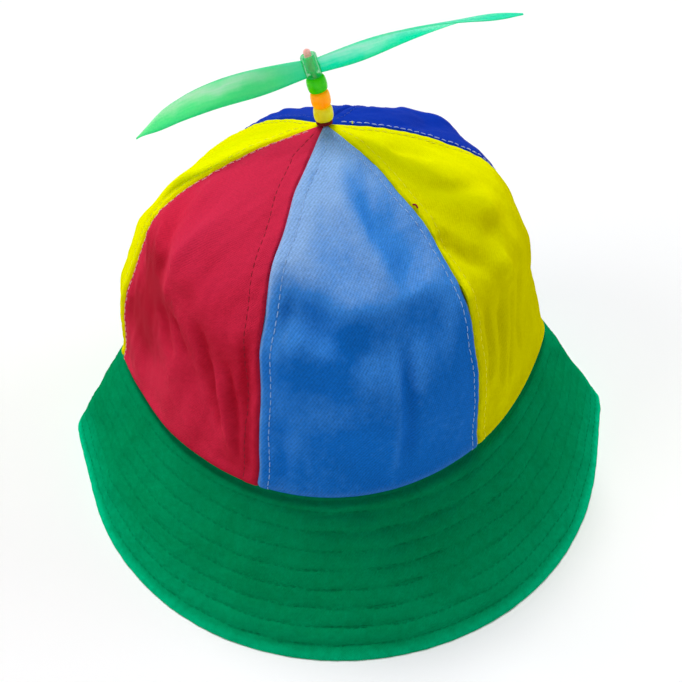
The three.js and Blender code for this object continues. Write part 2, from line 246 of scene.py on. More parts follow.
def ring_faces(rows: int, columns: int) -> Faces:
    """Lists the faces of a closed sheet whose last row joins its first one."""
    return (np.array(strip_faces(rows + 1, columns, True)) % (rows * columns)).tolist()


def tube_faces(rings: int, sides: int) -> Faces:
    """Lists the faces of a closed tube.

    Args:
        rings: number of rings of points along it.
        sides: number of points round it.

    Returns:
        The corner numbers of each face round the tube, then those of its two ends.
    """
    last = (rings - 1) * sides
    faces = [face[::-1] for face in strip_faces(rings, sides, True)]
    faces.append(list(range(sides)))
    faces.append([last + corner for corner in reversed(range(sides))])
    return faces


def tube(
    path: np.ndarray, radii: np.ndarray, sides: int, up: np.ndarray
) -> tuple[np.ndarray, Faces]:
    """Makes a closed tube along a path.

    Args:
        path: the places along its middle.
        radii: its radius at each place, or one row of radii round it for each place.
        sides: number of points round it.
        up: a direction that its cross-sections are turned from.

    Returns:
        Points and faces.
    """
    along = unit(np.gradient(path, axis=0))
    side = unit(np.cross(along, np.broadcast_to(up, along.shape)))
    top = np.cross(side, along)
    turn = around(sides)
    reach = np.broadcast_to(np.asarray(radii, float).reshape(len(path), -1), (len(path), sides))
    ring = side[:, None] * np.cos(turn)[None, :, None] + top[:, None] * np.sin(turn)[None, :, None]
    points = (path[:, None] + ring * reach[..., None]).reshape(-1, 3)
    return points, tube_faces(len(path), sides)


def add_strand(
    grid: Grid, path: np.ndarray, radius: float, up: np.ndarray, sides: int = 20
) -> None:
    """Adds a plain round strand of thread or cord along a path.

    Args:
        grid: the mesh.
        path: the places along its middle.
        radius: its radius.
        up: a direction that the path never runs along.
        sides: the number of sides.
    """
    points, faces = tube(path, np.full(len(path), radius), sides, up)
    thread = laid_flat(path_lengths(path)[:, None], around(sides) * radius)
    grid.add(points, faces, thread=thread.reshape(-1, 3))


def lathe(profile: np.ndarray, sides: int, matrix: np.ndarray) -> tuple[np.ndarray, Faces]:
    """Turns a closed outline of radius and height round an axis.

    Args:
        profile: rows of radius and height, running up the outside and down the inside.
        sides: number of points round it.
        matrix: where its axis goes.

    Returns:
        Points and faces.
    """
    turn = around(sides)
    radius, height = profile[:, :1], profile[:, 1:]
    spots = np.broadcast_arrays(radius * np.cos(turn), radius * np.sin(turn), height)
    points = np.stack(spots, -1).reshape(-1, 3)
    return points @ matrix[:3, :3].T + matrix[:3, 3], ring_faces(len(profile), sides)


class Bench:
    """Adds the nodes of one material and joins them."""

    def __init__(self, name: str) -> None:
        """Starts a material.

        Args:
            name: the material's name.
        """
        self.material = bpy.data.materials.new(name)
        self.material.use_nodes = True
        self.tree = self.material.node_tree
        self.shader = self.tree.nodes["Principled BSDF"]

    def add(self, kind: str, **values: object) -> bpy.types.Node:
        """Adds a node.

        Args:
            kind: the node's type, without the usual ShaderNode before it.
            values: its settings by attribute name.

        Returns:
            The new node.
        """
        node = self.tree.nodes.new("ShaderNode" + kind)
        for key, value in values.items():
            setattr(node, key, value)
        return node

    def set(self, socket: bpy.types.NodeSocket, value: object) -> None:
        """Joins a socket to another one, or gives it a constant.

        Args:
            socket: the socket to fill.
            value: the other socket, or the constant.
        """
        if isinstance(value, bpy.types.NodeSocket):
            self.tree.links.new(value, socket)
        else:
            socket.default_value = value

    def finish(self, **values: object) -> None:
        """Sets the shader's own sockets, each given by its name with _ for a space."""
        for key, value in values.items():
            self.set(self.shader.inputs[key.replace("_", " ")], value)

    def let_light_through(self, share: float, colour: bpy.types.NodeSocket) -> None:
        """Lets light from behind show through, as thin plastic does.

        Args:
            share: how much of the surface does so, from 0 to 1.
            colour: the colour that the light takes on.
        """
        behind = self.add("BsdfTranslucent")
        self.set(behind.inputs["Color"], colour)
        both = self.add("MixShader")
        self.set(both.inputs[0], share)
        self.set(both.inputs[1], self.shader.outputs[0])
        self.set(both.inputs[2], behind.outputs[0])
        self.set(self.tree.nodes["Material Output"].inputs["Surface"], both.outputs[0])

    def note(self, name: str, output: str) -> bpy.types.NodeSocket:
        """Reads a value that the mesh keeps for each point."""
        return self.add("Attribute", attribute_name=name).outputs[output]

    def sum(self, operation: str, *values: object) -> bpy.types.NodeSocket:
        """Works out one step of arithmetic.

        Args:
            operation: Blender's name for it.
            values: the sockets or numbers that it takes.

        Returns:
            The result.
        """
        node = self.add("Math", operation=operation)
        for socket, value in zip(node.inputs, values):
            self.set(socket, value)
        return node.outputs[0]

    def noise(
        self, coords: bpy.types.NodeSocket, size: float, detail: float = 3.0
    ) -> bpy.types.NodeSocket:
        """Gives a cloudy value.

        Args:
            coords: places on the surface.
            size: about how large its patches are.
            detail: how many finer clouds lie on them.

        Returns:
            A value of 0 to 1.
        """
        node = self.add("TexNoise")
        self.set(node.inputs["Vector"], coords)
        self.set(node.inputs["Scale"], 1.0 / size)
        self.set(node.inputs["Detail"], detail)
        return node.outputs["Fac"]

    def ribs(
        self, coords: bpy.types.NodeSocket, turn: float, pitch: float, wobble: float
    ) -> bpy.types.NodeSocket:
        """Gives straight ribs.

        Args:
            coords: places on the cloth.
            turn: the ribs' direction, in degrees.
            pitch: from one rib to the next.
            wobble: how uneven they are.

        Returns:
            A value of 0 to 1 across each rib.
        """
        place = self.add("Mapping")
        self.set(place.inputs["Vector"], coords)
        self.set(place.inputs["Rotation"], (0.0, 0.0, math.radians(turn)))
        waves = self.add("TexWave", wave_type="BANDS", bands_direction="X", wave_profile="SIN")
        self.set(waves.inputs["Vector"], place.outputs[0])
        self.set(waves.inputs["Scale"], RIB_SCALE / pitch)
        self.set(waves.inputs["Distortion"], wobble)
        self.set(waves.inputs["Detail Scale"], 1.0)
        return waves.outputs["Fac"]

    def spread(
        self, value: object, low: float, high: float, to_low: float, to_high: float
    ) -> bpy.types.NodeSocket:
        """Stretches a value from one range to another and clamps it there.

        Args:
            value: the value.
            low, high: the range that it comes from.
            to_low, to_high: the range that it goes to.

        Returns:
            The stretched value.
        """
        node = self.add("MapRange")
        for socket, given in zip(node.inputs, (value, low, high, to_low, to_high)):
            self.set(socket, given)
        return node.outputs[0]

    def blend(
        self, share: object, first: object, second: object, way: str = "MIX"
    ) -> bpy.types.NodeSocket:
        """Mixes two colours.

        Args:
            share: how much of the second, from 0 to 1.
            first: a colour.
            second: a colour.
            way: Blender's name for how they mix.

        Returns:
            The mixed colour.
        """
        node = self.add("Mix", data_type="RGBA", blend_type=way)
        self.set(node.inputs["Factor"], share)
        self.set(node.inputs[6], first)
        self.set(node.inputs[7], second)
        return node.outputs[2]

    def bump(
        self, height: object, depth: float, under: bpy.types.NodeSocket | None = None
    ) -> bpy.types.NodeSocket:
        """Roughens the surface.

        Args:
            height: a value of 0 to 1.
            depth: how deep the relief is, in millimetres.
            under: a relief that this one lies on.

        Returns:
            The normal for the shader.
        """
        node = self.add("Bump")
        self.set(node.inputs["Strength"], 1.0)
        self.set(node.inputs["Distance"], depth * METRES)
        self.set(node.inputs["Height"], height)
        if under is not None:
            self.set(node.inputs["Normal"], under)
        return node.outputs[0]


@dataclass(frozen=True)
class TwillFinish:
    """Washed cotton twill: fine diagonal ribs, uneven dye, painted light and shade by how the cloth
    faces the light and folds, and paler where hands reach it, with painted side light on the brim.
    """

    name: str
    colour: Rgb
    # deep is painted shade for cloth turned from the light and in fold hollows; pale is painted light
    # for lit cloth and fold ridges, and also colours scuffed edges.
    deep: Rgb
    pale: Rgb
    pitch: float = 0.85
    contrast: float = 0.07
    painted_light_share: float = 0.5
    grain: float = 0.9
    gloss: float = 0.04
    painted_light_start: float = 0.4
    rib_turn: float = 38.0
    yarn_turn: float = -52.0
    rib_depth: float = 0.11
    nap_depth: float = 0.3

    def make(self) -> bpy.types.Material:
        """Makes the material.

        Returns:
            The new material.
        """
        bench = Bench(self.name)
        cloth = bench.note("cloth", "Vector")
        sun = bench.note("sun", "Fac")
        ribs = bench.ribs(cloth, self.rib_turn, self.pitch, 0.9)
        yarn = bench.ribs(cloth, self.yarn_turn, self.pitch * 0.62, 1.2)
        patches = bench.noise(cloth, 30.0, 4.0)
        mottle = bench.noise(cloth, 3.2, 5.0)
        fibre = bench.noise(cloth, self.grain, 3.0)
        weave = bench.sum("ADD", bench.sum("MULTIPLY", ribs, 0.6), bench.sum("MULTIPLY", yarn, 0.4))
        reach = (0.3, 0.7, -0.06, 0.06)
        uneven = bench.sum("ADD", bench.spread(patches, *reach), bench.spread(mottle, *reach))
        # Painted light and shade: the painted light value, with random dye patches, blends towards deep
        # below the start and towards pale above it.
        sunned = bench.sum("ADD", sun, uneven)
        painted_shade_share = bench.spread(sunned, 0.0, self.painted_light_start, 1.0, 0.0)
        colour = bench.blend(painted_shade_share, linear(*self.colour), linear(*self.deep))
        painted_lit_share = bench.spread(sunned, self.painted_light_start, 1.0, 0.0, self.painted_light_share)
        colour = bench.blend(painted_lit_share, colour, linear(*self.pale))
        shade = bench.sum("SUBTRACT", 1.0, bench.sum("MULTIPLY", weave, self.contrast * 1.7))
        fluff = bench.spread(fibre, 0.3, 0.7, -0.1 * self.contrast, self.contrast * 1.8)
        shade = bench.sum("ADD", shade, fluff)
        grey = bench.add("CombineColor")
        for socket in grey.inputs:
            bench.set(socket, shade)
        colour = bench.blend(1.0, colour, grey.outputs[0], "MULTIPLY")
        # Paler where scuffed, which on the brim also carries painted side light.
        patchy = bench.spread(mottle, 0.3, 0.6, 0.5, 0.75)
        scuffed_and_side_lit = bench.sum("MULTIPLY", bench.note("wear", "Fac"), patchy)
        colour = bench.blend(scuffed_and_side_lit, colour, linear(*self.pale))
        relief = bench.bump(bench.sum("SUBTRACT", 1.0, weave), self.rib_depth)
        relief = bench.bump(mottle, self.nap_depth, relief)
        bench.finish(Base_Color=colour, Normal=relief)
        bench.finish(Roughness=0.75, Specular_IOR_Level=self.gloss)
        return bench.material


@dataclass(frozen=True)
class ThreadFinish:
    """Spun thread: two plies twisted together, a little shiny."""

    name: str
    colour: Rgb
    deep: Rgb
    pitch: float = 0.5
    roughness: float = 0.55
    gloss: float = 0.15
    painted_glow: float = 0.0

    def make(self) -> bpy.types.Material:
        """Makes the material.

        Returns:
            The new material.
        """
        bench = Bench(self.name)
        place = bench.note("thread", "Vector")
        plies = bench.ribs(place, 35.0, self.pitch, 0.4)
        fuzz = bench.noise(place, 0.3, 2.0)
        share = bench.sum("MULTIPLY", bench.sum("ADD", plies, fuzz), 0.3)
        colour = bench.blend(share, linear(*self.colour), linear(*self.deep))
        bench.finish(Base_Color=colour, Normal=bench.bump(plies, 0.08), Roughness=self.roughness)
        bench.finish(Specular_IOR_Level=self.gloss, Sheen_Weight=self.gloss / 5.0)
        # Painted glow: emission of the thread's own colour, set on the cord so it looks lit inside the
        # hub.
        bench.finish(Emission_Color=colour, Emission_Strength=self.painted_glow)
        return bench.material


@dataclass(frozen=True)
class BeadFinish:
    """Moulded glossy plastic with a faint swirl. Light soaks in, and a painted glow brightens some
    beads.
    """

    name: str
    colour: Rgb
    swirl: Rgb
    painted_glow: float = 0.0
    roughness: float = 0.22

    def make(self) -> bpy.types.Material:
        """Makes the material.

        Returns:
            The new material.
        """
        bench = Bench(self.name)
        place = bench.note("mould", "Vector")
        swirl = bench.noise(place, 2.6, 3.0)
        scuffs = bench.noise(place, 0.5, 4.0)
        swirled = bench.spread(swirl, 0.35, 0.7, 0.0, 0.7)
        colour = bench.blend(swirled, linear(*self.colour), linear(*self.swirl))
        dull = bench.spread(scuffs, 0.4, 0.7, self.roughness, self.roughness + 0.14)
        bench.finish(Base_Color=colour, Roughness=dull, Normal=bench.bump(swirl, 0.05))
        bench.finish(Subsurface_Weight=0.9, Subsurface_Scale=0.0035)
        bench.finish(Subsurface_Radius=(1.0, 0.8, 0.5))
        bench.finish(Specular_IOR_Level=0.12, Coat_Weight=0.15, Coat_Roughness=0.05)
        # Painted glow: emission of the bead's own colour.
        bench.finish(Emission_Color=colour, Emission_Strength=self.painted_glow)
        return bench.material


@dataclass(frozen=True)
class PropellerFinish:
    """Thin tinted plastic with a painted whitish highlight band, deeper at its lower edge, with flow
    lines.
    """

    name: str
    colour: Rgb
    lime: Rgb
    painted_highlight: Rgb
    edge: Rgb
    alpha: float = 0.9
    through: float = 0.5
    painted_highlight_share: float = 0.75

    def make(self) -> bpy.types.Material:
        """Makes the material.

        Returns:
            The new material.
        """
        bench = Bench(self.name)
        place = bench.note("mould", "Vector")
        share = bench.note("share", "Fac")
        parts = bench.add("SeparateXYZ")
        bench.set(parts.inputs[0], place)
        flow = bench.noise(place, 16.0, 3.0)
        streak = bench.add("Mapping")
        bench.set(streak.inputs["Vector"], place)
        bench.set(streak.inputs["Scale"], (0.12, 1.0, 1.0))
        streaks = bench.noise(streak.outputs[0], 1.6, 3.0)
        grain = bench.noise(place, 1.1, 4.0)
        to_left = bench.spread(parts.outputs[0], -16.0, 4.0, 1.0, 0.0)
        colour = bench.blend(to_left, linear(*self.colour), linear(*self.lime))
        # Painted highlight: a whitish band across the blade, placed by the share across the chord and
        # flow noise and weighted along the blade.
        off = bench.sum("SUBTRACT", share, 0.6)
        off = bench.sum("ADD", off, bench.spread(flow, 0.3, 0.7, -0.45, 0.45))
        off = bench.sum("ADD", off, bench.spread(streaks, 0.35, 0.65, -0.16, 0.16))
        highlight_band = bench.spread(bench.sum("ABSOLUTE", off), 0.0, 1.0, self.painted_highlight_share, 0.0)
        cloud = bench.spread(parts.outputs[0], -34.0, -12.0, 1.0, 0.25)
        cloud = bench.sum("ADD", cloud, bench.spread(parts.outputs[0], 0.0, 6.0, 0.0, 0.75))
        for ends in ((-74.0, -52.0, 0.3, 1.0), (20.0, 44.0, 1.0, 0.5), (52.0, 68.0, 1.0, 0.2)):
            cloud = bench.sum("MULTIPLY", cloud, bench.spread(parts.outputs[0], *ends))
        colour = bench.blend(bench.sum("MULTIPLY", highlight_band, cloud), colour, linear(*self.painted_highlight))
        lower = bench.spread(share, -0.6, -1.0, 0.0, 0.8)
        colour = bench.blend(lower, colour, linear(*self.edge))
        upper_edge = bench.spread(share, 0.82, 1.0, 0.0, 0.6)
        colour = bench.blend(upper_edge, colour, linear(*self.edge))
        dull = bench.spread(grain, 0.35, 0.7, 0.2, 0.36)
        bench.finish(Base_Color=colour, Roughness=dull, Normal=bench.bump(flow, 0.25))
        bench.finish(Alpha=self.alpha, Subsurface_Weight=0.6, Subsurface_Scale=0.003)
        bench.finish(Subsurface_Radius=(0.5, 1.0, 0.7))
        bench.finish(Specular_IOR_Level=0.3, Coat_Weight=0.15, Coat_Roughness=0.12)
        bench.let_light_through(self.through, colour)
        return bench.material


@dataclass(frozen=True)
class FloorFinish:
    """A plain pale studio sweep."""

    name: str = "floor_paper"
    colour: Rgb = (254, 254, 254)
    cloud: Rgb = (251, 251, 252)

    def make(self) -> bpy.types.Material:
        """Makes the material.

        Returns:
            The new material.
        """
        bench = Bench(self.name)
        place = bench.add("TexCoord").outputs["Object"]
        clouds = bench.noise(place, 0.5, 2.0)
        clouded = bench.spread(clouds, 0.3, 0.7, 0.0, 0.35)
        colour = bench.blend(clouded, linear(*self.colour), linear(*self.cloud))
        bench.finish(Base_Color=colour, Roughness=0.9, Specular_IOR_Level=0.1)
        return bench.material


@dataclass(frozen=True)
class Swell:
    """A broad swell of the soft crown, with lobes round it."""

    lobes: int
    peak: float
    swell: float
    height: float
    spread: float


@dataclass(frozen=True)
class Dent:
    """A dent, or a ridge where depth is positive, as a share of the crown's reach."""

    azimuth: float
    height: float
    across: float
    up: float
    depth: float


@dataclass(frozen=True)
class Fold:
    """A fold along a line of places, each an azimuth and a height share.

    Depth is positive for a ridge and negative for a hollow.
    Ridges get painted light and hollows painted shade. The tone says how much, beside other folds.
    """

    places: tuple[tuple[float, float], ...]
    width: float
    depth: float
    tone: float = 1.0


@dataclass(frozen=True)
class CrownForm:
    """The crown's main shape, the same as the solid panels have, with its cloth laid out flat."""

    half_width: float = 91.0
    half_length: float = 98.0
    height: float = 109.0
    seam_height: float = 51.0
    seam_rise: float = 4.5
    lean: float = 1.0
    rounding_start: float = 0.2
    panel_turn: float = 8.5
    panel_count: int = 6
    seam_twist: float = 3.0
    apex_radius: float = 2.0
    crease_azimuth: float = 84.0
    crease: float = 7.0
    crease_spread: float = 12.5
    crease_rounding: float = 3.5
    sections: tuple[tuple[float, float], ...] = (
        (1, 0), (0.98, 0.2), (0.94, 0.4), (0.85, 0.6),
        (0.715, 0.75), (0.485, 0.87), (0.245, 0.95), (0, 1),
    )
    swells: tuple[Swell, ...] = (
        Swell(3, 13, 0.055, 0.35, 0.22), Swell(2, 85, 0.018, 0.35, 0.22),
        Swell(2, -50, 0.072, 0.8, 0.18), Swell(3, -55, 0.022, 0.8, 0.18),
        Swell(6, 11, 0.01, 0.75, 0.3),
    )
    dents: tuple[Dent, ...] = (
        Dent(-140, 0.8, 22, 0.16, 0.015), Dent(-105, 0.8, 22, 0.16, -0.042),
        Dent(-105, 0.55, 22, 0.16, 0.01), Dent(-70, 0.55, 22, 0.16, -0.021),
        Dent(-70, 0.8, 22, 0.16, 0.016), Dent(70, 0.55, 22, 0.16, 0.034),
        Dent(140, 0.8, 22, 0.16, 0.018), Dent(18, 0.62, 7, 0.16, -0.018),
        Dent(2, 0.6, 8, 0.15, 0.016), Dent(-12, 0.42, 9, 0.08, -0.016),
        Dent(4, 0.3, 9, 0.07, 0.012), Dent(45, 0.72, 10, 0.08, -0.018),
        Dent(62, 0.5, 8, 0.1, -0.014), Dent(-38, 0.28, 5, 0.2, -0.012),
        Dent(-52, 0.25, 5, 0.2, 0.01), Dent(-66, 0.25, 5, 0.2, -0.012),
    )

    @property
    def mean_radius(self) -> float:
        """The radius of a round crown of about this size."""
        return (self.half_width + self.half_length) / 2.0

    def section(self, along: np.ndarray) -> tuple[np.ndarray, np.ndarray]:
        """Reads the crown's outline.

        Args:
            along: shares of the way up the cloth.

        Returns:
            The reach share and the height share there.
        """
        rows = np.array(self.sections, float)
        place = np.clip(np.asarray(along, float), 0.0, 1.0) * (len(rows) - 1)
        index = np.minimum(np.floor(place).astype(int), len(rows) - 2)
        share = (place - index)[..., None]
        before = rows[np.maximum(index - 1, 0)]
        start, end = rows[index], rows[index + 1]
        after = rows[np.minimum(index + 2, len(rows) - 1)]
        slope_start, slope_end = (end - before) / 2.0, (after - start) / 2.0
        value = (2 * start - 2 * end + slope_start + slope_end) * share**3
        value = value + (3 * end - 3 * start - 2 * slope_start - slope_end) * share**2
        value = value + slope_start * share + start
        return value[..., 0], value[..., 1]

    def crease_share(self, azimuth: np.ndarray, spread: float) -> np.ndarray:
        """Falls off from 1 on either side crease."""
        off = np.abs(turn_from_front(azimuth)) - self.crease_azimuth
        return np.exp((self.crease_rounding - np.hypot(off, self.crease_rounding)) / spread)

    def soft_share(self, azimuth: np.ndarray, height: np.ndarray) -> np.ndarray:
        """Says how far the cloth stands out, as a share of the smooth reach."""
        share = np.ones(np.broadcast(azimuth, height).shape)
        for swell in self.swells:
            lobes = np.cos(np.radians(swell.lobes * (azimuth - swell.peak)))
            share += swell.swell * bell(height - swell.height, swell.spread) * lobes
        for dent in self.dents:
            turn = turn_from_front(azimuth - dent.azimuth)
            share += dent.depth * bell(turn, dent.across) * bell(height - dent.height, dent.up)
        return share

    def point(self, azimuth: np.ndarray, along: np.ndarray) -> np.ndarray:
        """Gives places on the outside of the crown.

        Args:
            azimuth: azimuths.
            along: shares of the way up the cloth.

        Returns:
            The places, in the last axis.
        """
        reach, height = self.section(along)
        rounding = smooth(height, self.rounding_start, 1.0)
        half_width = self.half_width + (self.mean_radius - self.half_width) * rounding
        half_length = self.half_length + (self.mean_radius - self.half_length) * rounding
        at_seam = (1.0 - height) ** 2
        crease = self.crease * self.crease_share(azimuth, self.crease_spread) * at_seam
        share = reach * self.soft_share(azimuth, height)
        turn = np.radians(azimuth)
        across = np.sin(turn) * (half_width * share + crease) + self.lean * height
        back = -np.cos(turn) * (half_length * share + crease)
        up = self.seam_height + self.height * height - self.seam_rise * np.cos(2 * turn) * at_seam
        return np.stack(np.broadcast_arrays(across, back, up), -1) + MIDDLE

    def normal(self, azimuth: np.ndarray, along: np.ndarray) -> np.ndarray:
        """Gives the outward direction at places on the crown."""
        turn, step = 0.5, 0.006
        across = self.point(azimuth + turn, along) - self.point(azimuth - turn, along)
        below = np.maximum(along - step, 0.0)
        above = np.minimum(along + step, 0.995)
        return unit(np.cross(across, self.point(azimuth, above) - self.point(azimuth, below)))

    def radius(self, along: np.ndarray) -> np.ndarray:
        """Gives the crown's mean radius at shares of the way up the cloth."""
        return self.section(along)[0] * self.mean_radius

    def cloth_height(self, along: np.ndarray) -> np.ndarray:
        """Gives the length of cloth from the brim seam up to a share of the way."""
        steps = np.linspace(0.0, 1.0, 400)
        reach, height = self.section(steps)
        lengths = np.hypot(np.diff(reach * self.mean_radius), np.diff(height * self.height))
        return np.interp(along, steps, np.concatenate([[0.0], np.cumsum(lengths)]))

    def along_at_radius(self, radius: float) -> float:
        """Finds how far up the cloth the crown is still that radius."""
        steps = np.linspace(1.0, 0.5, 4000)
        return float(np.interp(radius, self.radius(steps), steps))

    def along_at_height(self, height: np.ndarray) -> np.ndarray:
        """Finds the share of the way up the cloth for height shares."""
        steps = np.linspace(0.0, 1.0, 2000)
        return np.interp(height, self.section(steps)[1], steps)

    def seam(self, number: float, along: np.ndarray) -> np.ndarray:
        """Gives the azimuth of a panel seam, which wanders a little as sewn seams do."""
        turn = (number - 0.5) * 360.0 / self.panel_count
        up, same = self.cloth_height(along), number % self.panel_count
        wander = 0.34 * np.sin(up / 5.3 + 2.1 * same) + 0.3 * np.sin(up / 11.7 + 1.3 * same)
        wander = wander * smooth(self.radius(along), 8.0, 40.0) * smooth(up, 0.0, 12.0)
        wander = np.degrees(wander / np.maximum(self.radius(along), 1.0))
        return self.panel_turn + turn + self.seam_twist * self.section(along)[1] + wander


@dataclass(frozen=True)
class StitchRow:
    """Dashes of thread along a line."""

    length: float = 2.4
    gap: float = 0.8
    radius: float = 0.16
    lift: float = 0.13
    sides: int = 6

    def add_to(self, grid: Grid, path: np.ndarray, outward: np.ndarray, seed: int) -> None:
        """Adds the stitches to a mesh.

        Args:
            grid: the mesh.
            path: places along the line, close together.
            outward: the direction out of the cloth at each place.
            seed: the seed for how uneven the stitches are.
        """
        draw = np.random.default_rng(seed)
        travelled = path_lengths(path)
        count = int(travelled[-1] / (self.length + self.gap))
        if count < 1:
            return
        pitch = travelled[-1] / count
        starts = (np.arange(count) + 0.1) * pitch + draw.uniform(-0.15, 0.15, count)
        shares = np.array([0.0, 0.12, 0.5, 0.88, 1.0])
        heights = np.array([-0.3, 0.35, 1.0, 0.35, -0.3]) * self.lift
        girths = np.array([0.45, 0.95, 1.05, 0.95, 0.45]) * self.radius
        at = starts[:, None] + shares * (pitch - self.gap) * draw.uniform(0.92, 1.05, (count, 1))
        middle = np.stack([np.interp(at, travelled, path[:, axis]) for axis in range(3)], -1)
        normal = unit(np.stack([np.interp(at, travelled, outward[:, axis]) for axis in range(3)], -1))
        forward = unit(np.gradient(middle, axis=1))
        side = np.cross(forward, normal)
        middle = middle + normal * heights[:, None] + side * draw.normal(0.0, 0.05, (count, 1, 1))
        turn = around(self.sides)
        ring = side[:, :, None] * np.cos(turn)[:, None] + normal[:, :, None] * np.sin(turn)[:, None]
        points = middle[:, :, None] + ring * girths[:, None, None]
        starts_at = range(0, count * len(shares) * self.sides, len(shares) * self.sides)
        pattern = tube_faces(len(shares), self.sides)
        faces = [[corner + first for corner in face] for first in starts_at for face in pattern]
        thread = laid_flat(at[:, :, None], turn * self.radius)
        grid.add(points.reshape(-1, 3), faces, thread=thread.reshape(-1, 3))


@dataclass(frozen=True)
class Topstitch:
    """A sewn line beside one of a panel's seams."""

    side: Side
    inset: float
    thread: ThreadFinish
    raised: float = 0.3
    pucker: float = 0.12
    girth: float = 0.16


@dataclass
class CrownPanel:
    """One sewn panel of the crown, with its seam allowances, top stitching, folds and wrinkles."""

    name: str
    number: int
    node: str
    slot: str
    finish: TwillFinish
    stitches: tuple[Topstitch, ...]
    folds: tuple[Fold, ...] = ()
    form: CrownForm = CrownForm()
    wall: float = 1.5
    columns: int = 104
    rows: int = 150
    wrinkle: float = 0.5
    # How much a fold's depth turns into painted light and shade.
    fold_tone: float = 0.07
    seam_gap: float = 0.03
    crowding: float = 0.62
    close_rows: int = 10
    close_share: float = 0.024
    inside_painted_tone: float = 0.3
    stitch_top: float = 7.0

    def edges(self, along: np.ndarray) -> tuple[np.ndarray, np.ndarray]:
        """Gives the azimuths of the panel's two seams."""
        return self.form.seam(self.number, along), self.form.seam(self.number + 1, along)

    def fold_relief(
        self, azimuth: np.ndarray, up: np.ndarray, width: np.ndarray
    ) -> tuple[np.ndarray, np.ndarray]:
        """Adds up the folds of the panel.

        Args:
            azimuth: azimuths.
            up: lengths of cloth above the brim seam.
            width: millimetres to a degree there.

        Returns:
            How far the cloth stands out, and the painted light on its ridges and painted shade in its
            hollows.
        """
        total, painted_tone = np.zeros(azimuth.shape), np.zeros(azimuth.shape)
        for fold in self.folds:
            spots = np.array(fold.places, float)
            heights = self.form.cloth_height(self.form.along_at_height(spots[:, 1]))
            nearest = np.full(azimuth.shape, np.inf)
            share = np.zeros(azimuth.shape)
            for index in range(len(spots) - 1):
                start_x = turn_from_front(azimuth - spots[index, 0]) * width
                step_x = (spots[index + 1, 0] - spots[index, 0]) * width
                start_y = up - heights[index]
                step_y = heights[index + 1] - heights[index]
                size = step_x**2 + step_y**2
                place = np.clip((start_x * step_x + start_y * step_y) / size, 0.0, 1.0)
                off = np.hypot(start_x - place * step_x, start_y - place * step_y)
                share = np.where(off < nearest, (index + place) / (len(spots) - 1), share)
                nearest = np.minimum(nearest, off)
            rise = fold.depth * bell(nearest, fold.width) * (1.0 - 0.7 * (2.0 * share - 1.0) ** 4)
            total += rise
            # Painted light on ridges, painted shade in hollows.
            painted_tone += rise * fold.tone * self.fold_tone
        return total, painted_tone

    def relief(
        self, azimuth: np.ndarray, along: np.ndarray
    ) -> tuple[np.ndarray, np.ndarray, np.ndarray]:
        """Works out the cloth's fine shape.

        Args:
            azimuth: azimuths.
            along: shares of the way up the cloth.

        Returns:
            How far the cloth stands out, its place laid flat, and how scuffed it is.
        """
        start, end = self.edges(along)
        width = np.radians(self.form.radius(along))
        up = self.form.cloth_height(along)
        across = (azimuth - (start + end) / 2.0) * width
        from_left, from_right = (azimuth - start) * width, (end - azimuth) * width
        panel_width = (end - start) * width
        roomy = smooth(panel_width, 4.0, 22.0)
        total = np.zeros(azimuth.shape)
        wear = np.zeros(azimuth.shape)
        for stitch in self.stitches:
            distance = from_left if stitch.side is Side.LEFT else from_right
            inset = np.minimum(stitch.inset, panel_width * 0.3)
            off = distance - inset
            beat = np.sin(up * 2.0 * math.pi / 3.4 + self.number)
            total += stitch.raised * roomy * (1.0 - smooth(off, -0.9, 0.5))
            total -= (0.1 + 0.04 * beat) * roomy * bell(off, 0.8)
            pucker = np.sin(up * 1.08 + 1.7 * self.number + 1.9 * np.sin(up / 7.1 + self.number))
            total += stitch.pucker * roomy * pucker * bell(off + 0.6, 3.4)
            wear += 0.3 * bell(distance - 0.7, 0.7)
        seam = np.minimum(from_left, from_right)
        total -= (0.35 + 0.65 * roomy) * bell(seam, 0.75)
        total += 0.8 * bell(up - 2.8, 2.0) - 1.0 * bell(up, 0.9)
        wear += 0.08 * bell(up - 2.4, 1.2)
        soft = SoftNoise(11 + self.number, 12.0, 46.0, 1.6)
        fine = SoftNoise(31 + self.number, 4.0, 11.0, 2.2)
        quiet = smooth(seam, 0.0, 9.0) * roomy
        loose = smooth(up, 0.0, 9.0)
        total += self.wrinkle * quiet * loose * soft.at(across, up)
        total += 0.1 * roomy * loose * fine.at(across, up)
        total += roomy * smooth(up, -1.0, 5.0) * self.fold_relief(azimuth, up, width)[0]
        return total, np.stack([across, up, np.zeros(up.shape)], -1), wear

    def skin(
        self, azimuth: np.ndarray, along: np.ndarray
    ) -> tuple[np.ndarray, np.ndarray, np.ndarray, np.ndarray]:
        """Gives the finished outside of the cloth.

        Args:
            azimuth: azimuths.
            along: shares of the way up the cloth.

        Returns:
            The places, the outward directions, the places laid flat and how scuffed the cloth is.
        """
        azimuth, along = np.broadcast_arrays(azimuth, along)
        outward = self.form.normal(azimuth, along)
        relief, cloth, wear = self.relief(azimuth, along)
        return self.form.point(azimuth, along) + outward * relief[..., None], outward, cloth, wear

    def row_shares(self) -> np.ndarray:
        """Spaces the rows, closer together at the brim seam."""
        top = self.form.along_at_radius(self.form.apex_radius)
        low = np.linspace(0.0, self.close_share, self.close_rows, endpoint=False)
        return np.concatenate([low, np.linspace(self.close_share, top, self.rows - self.close_rows)])

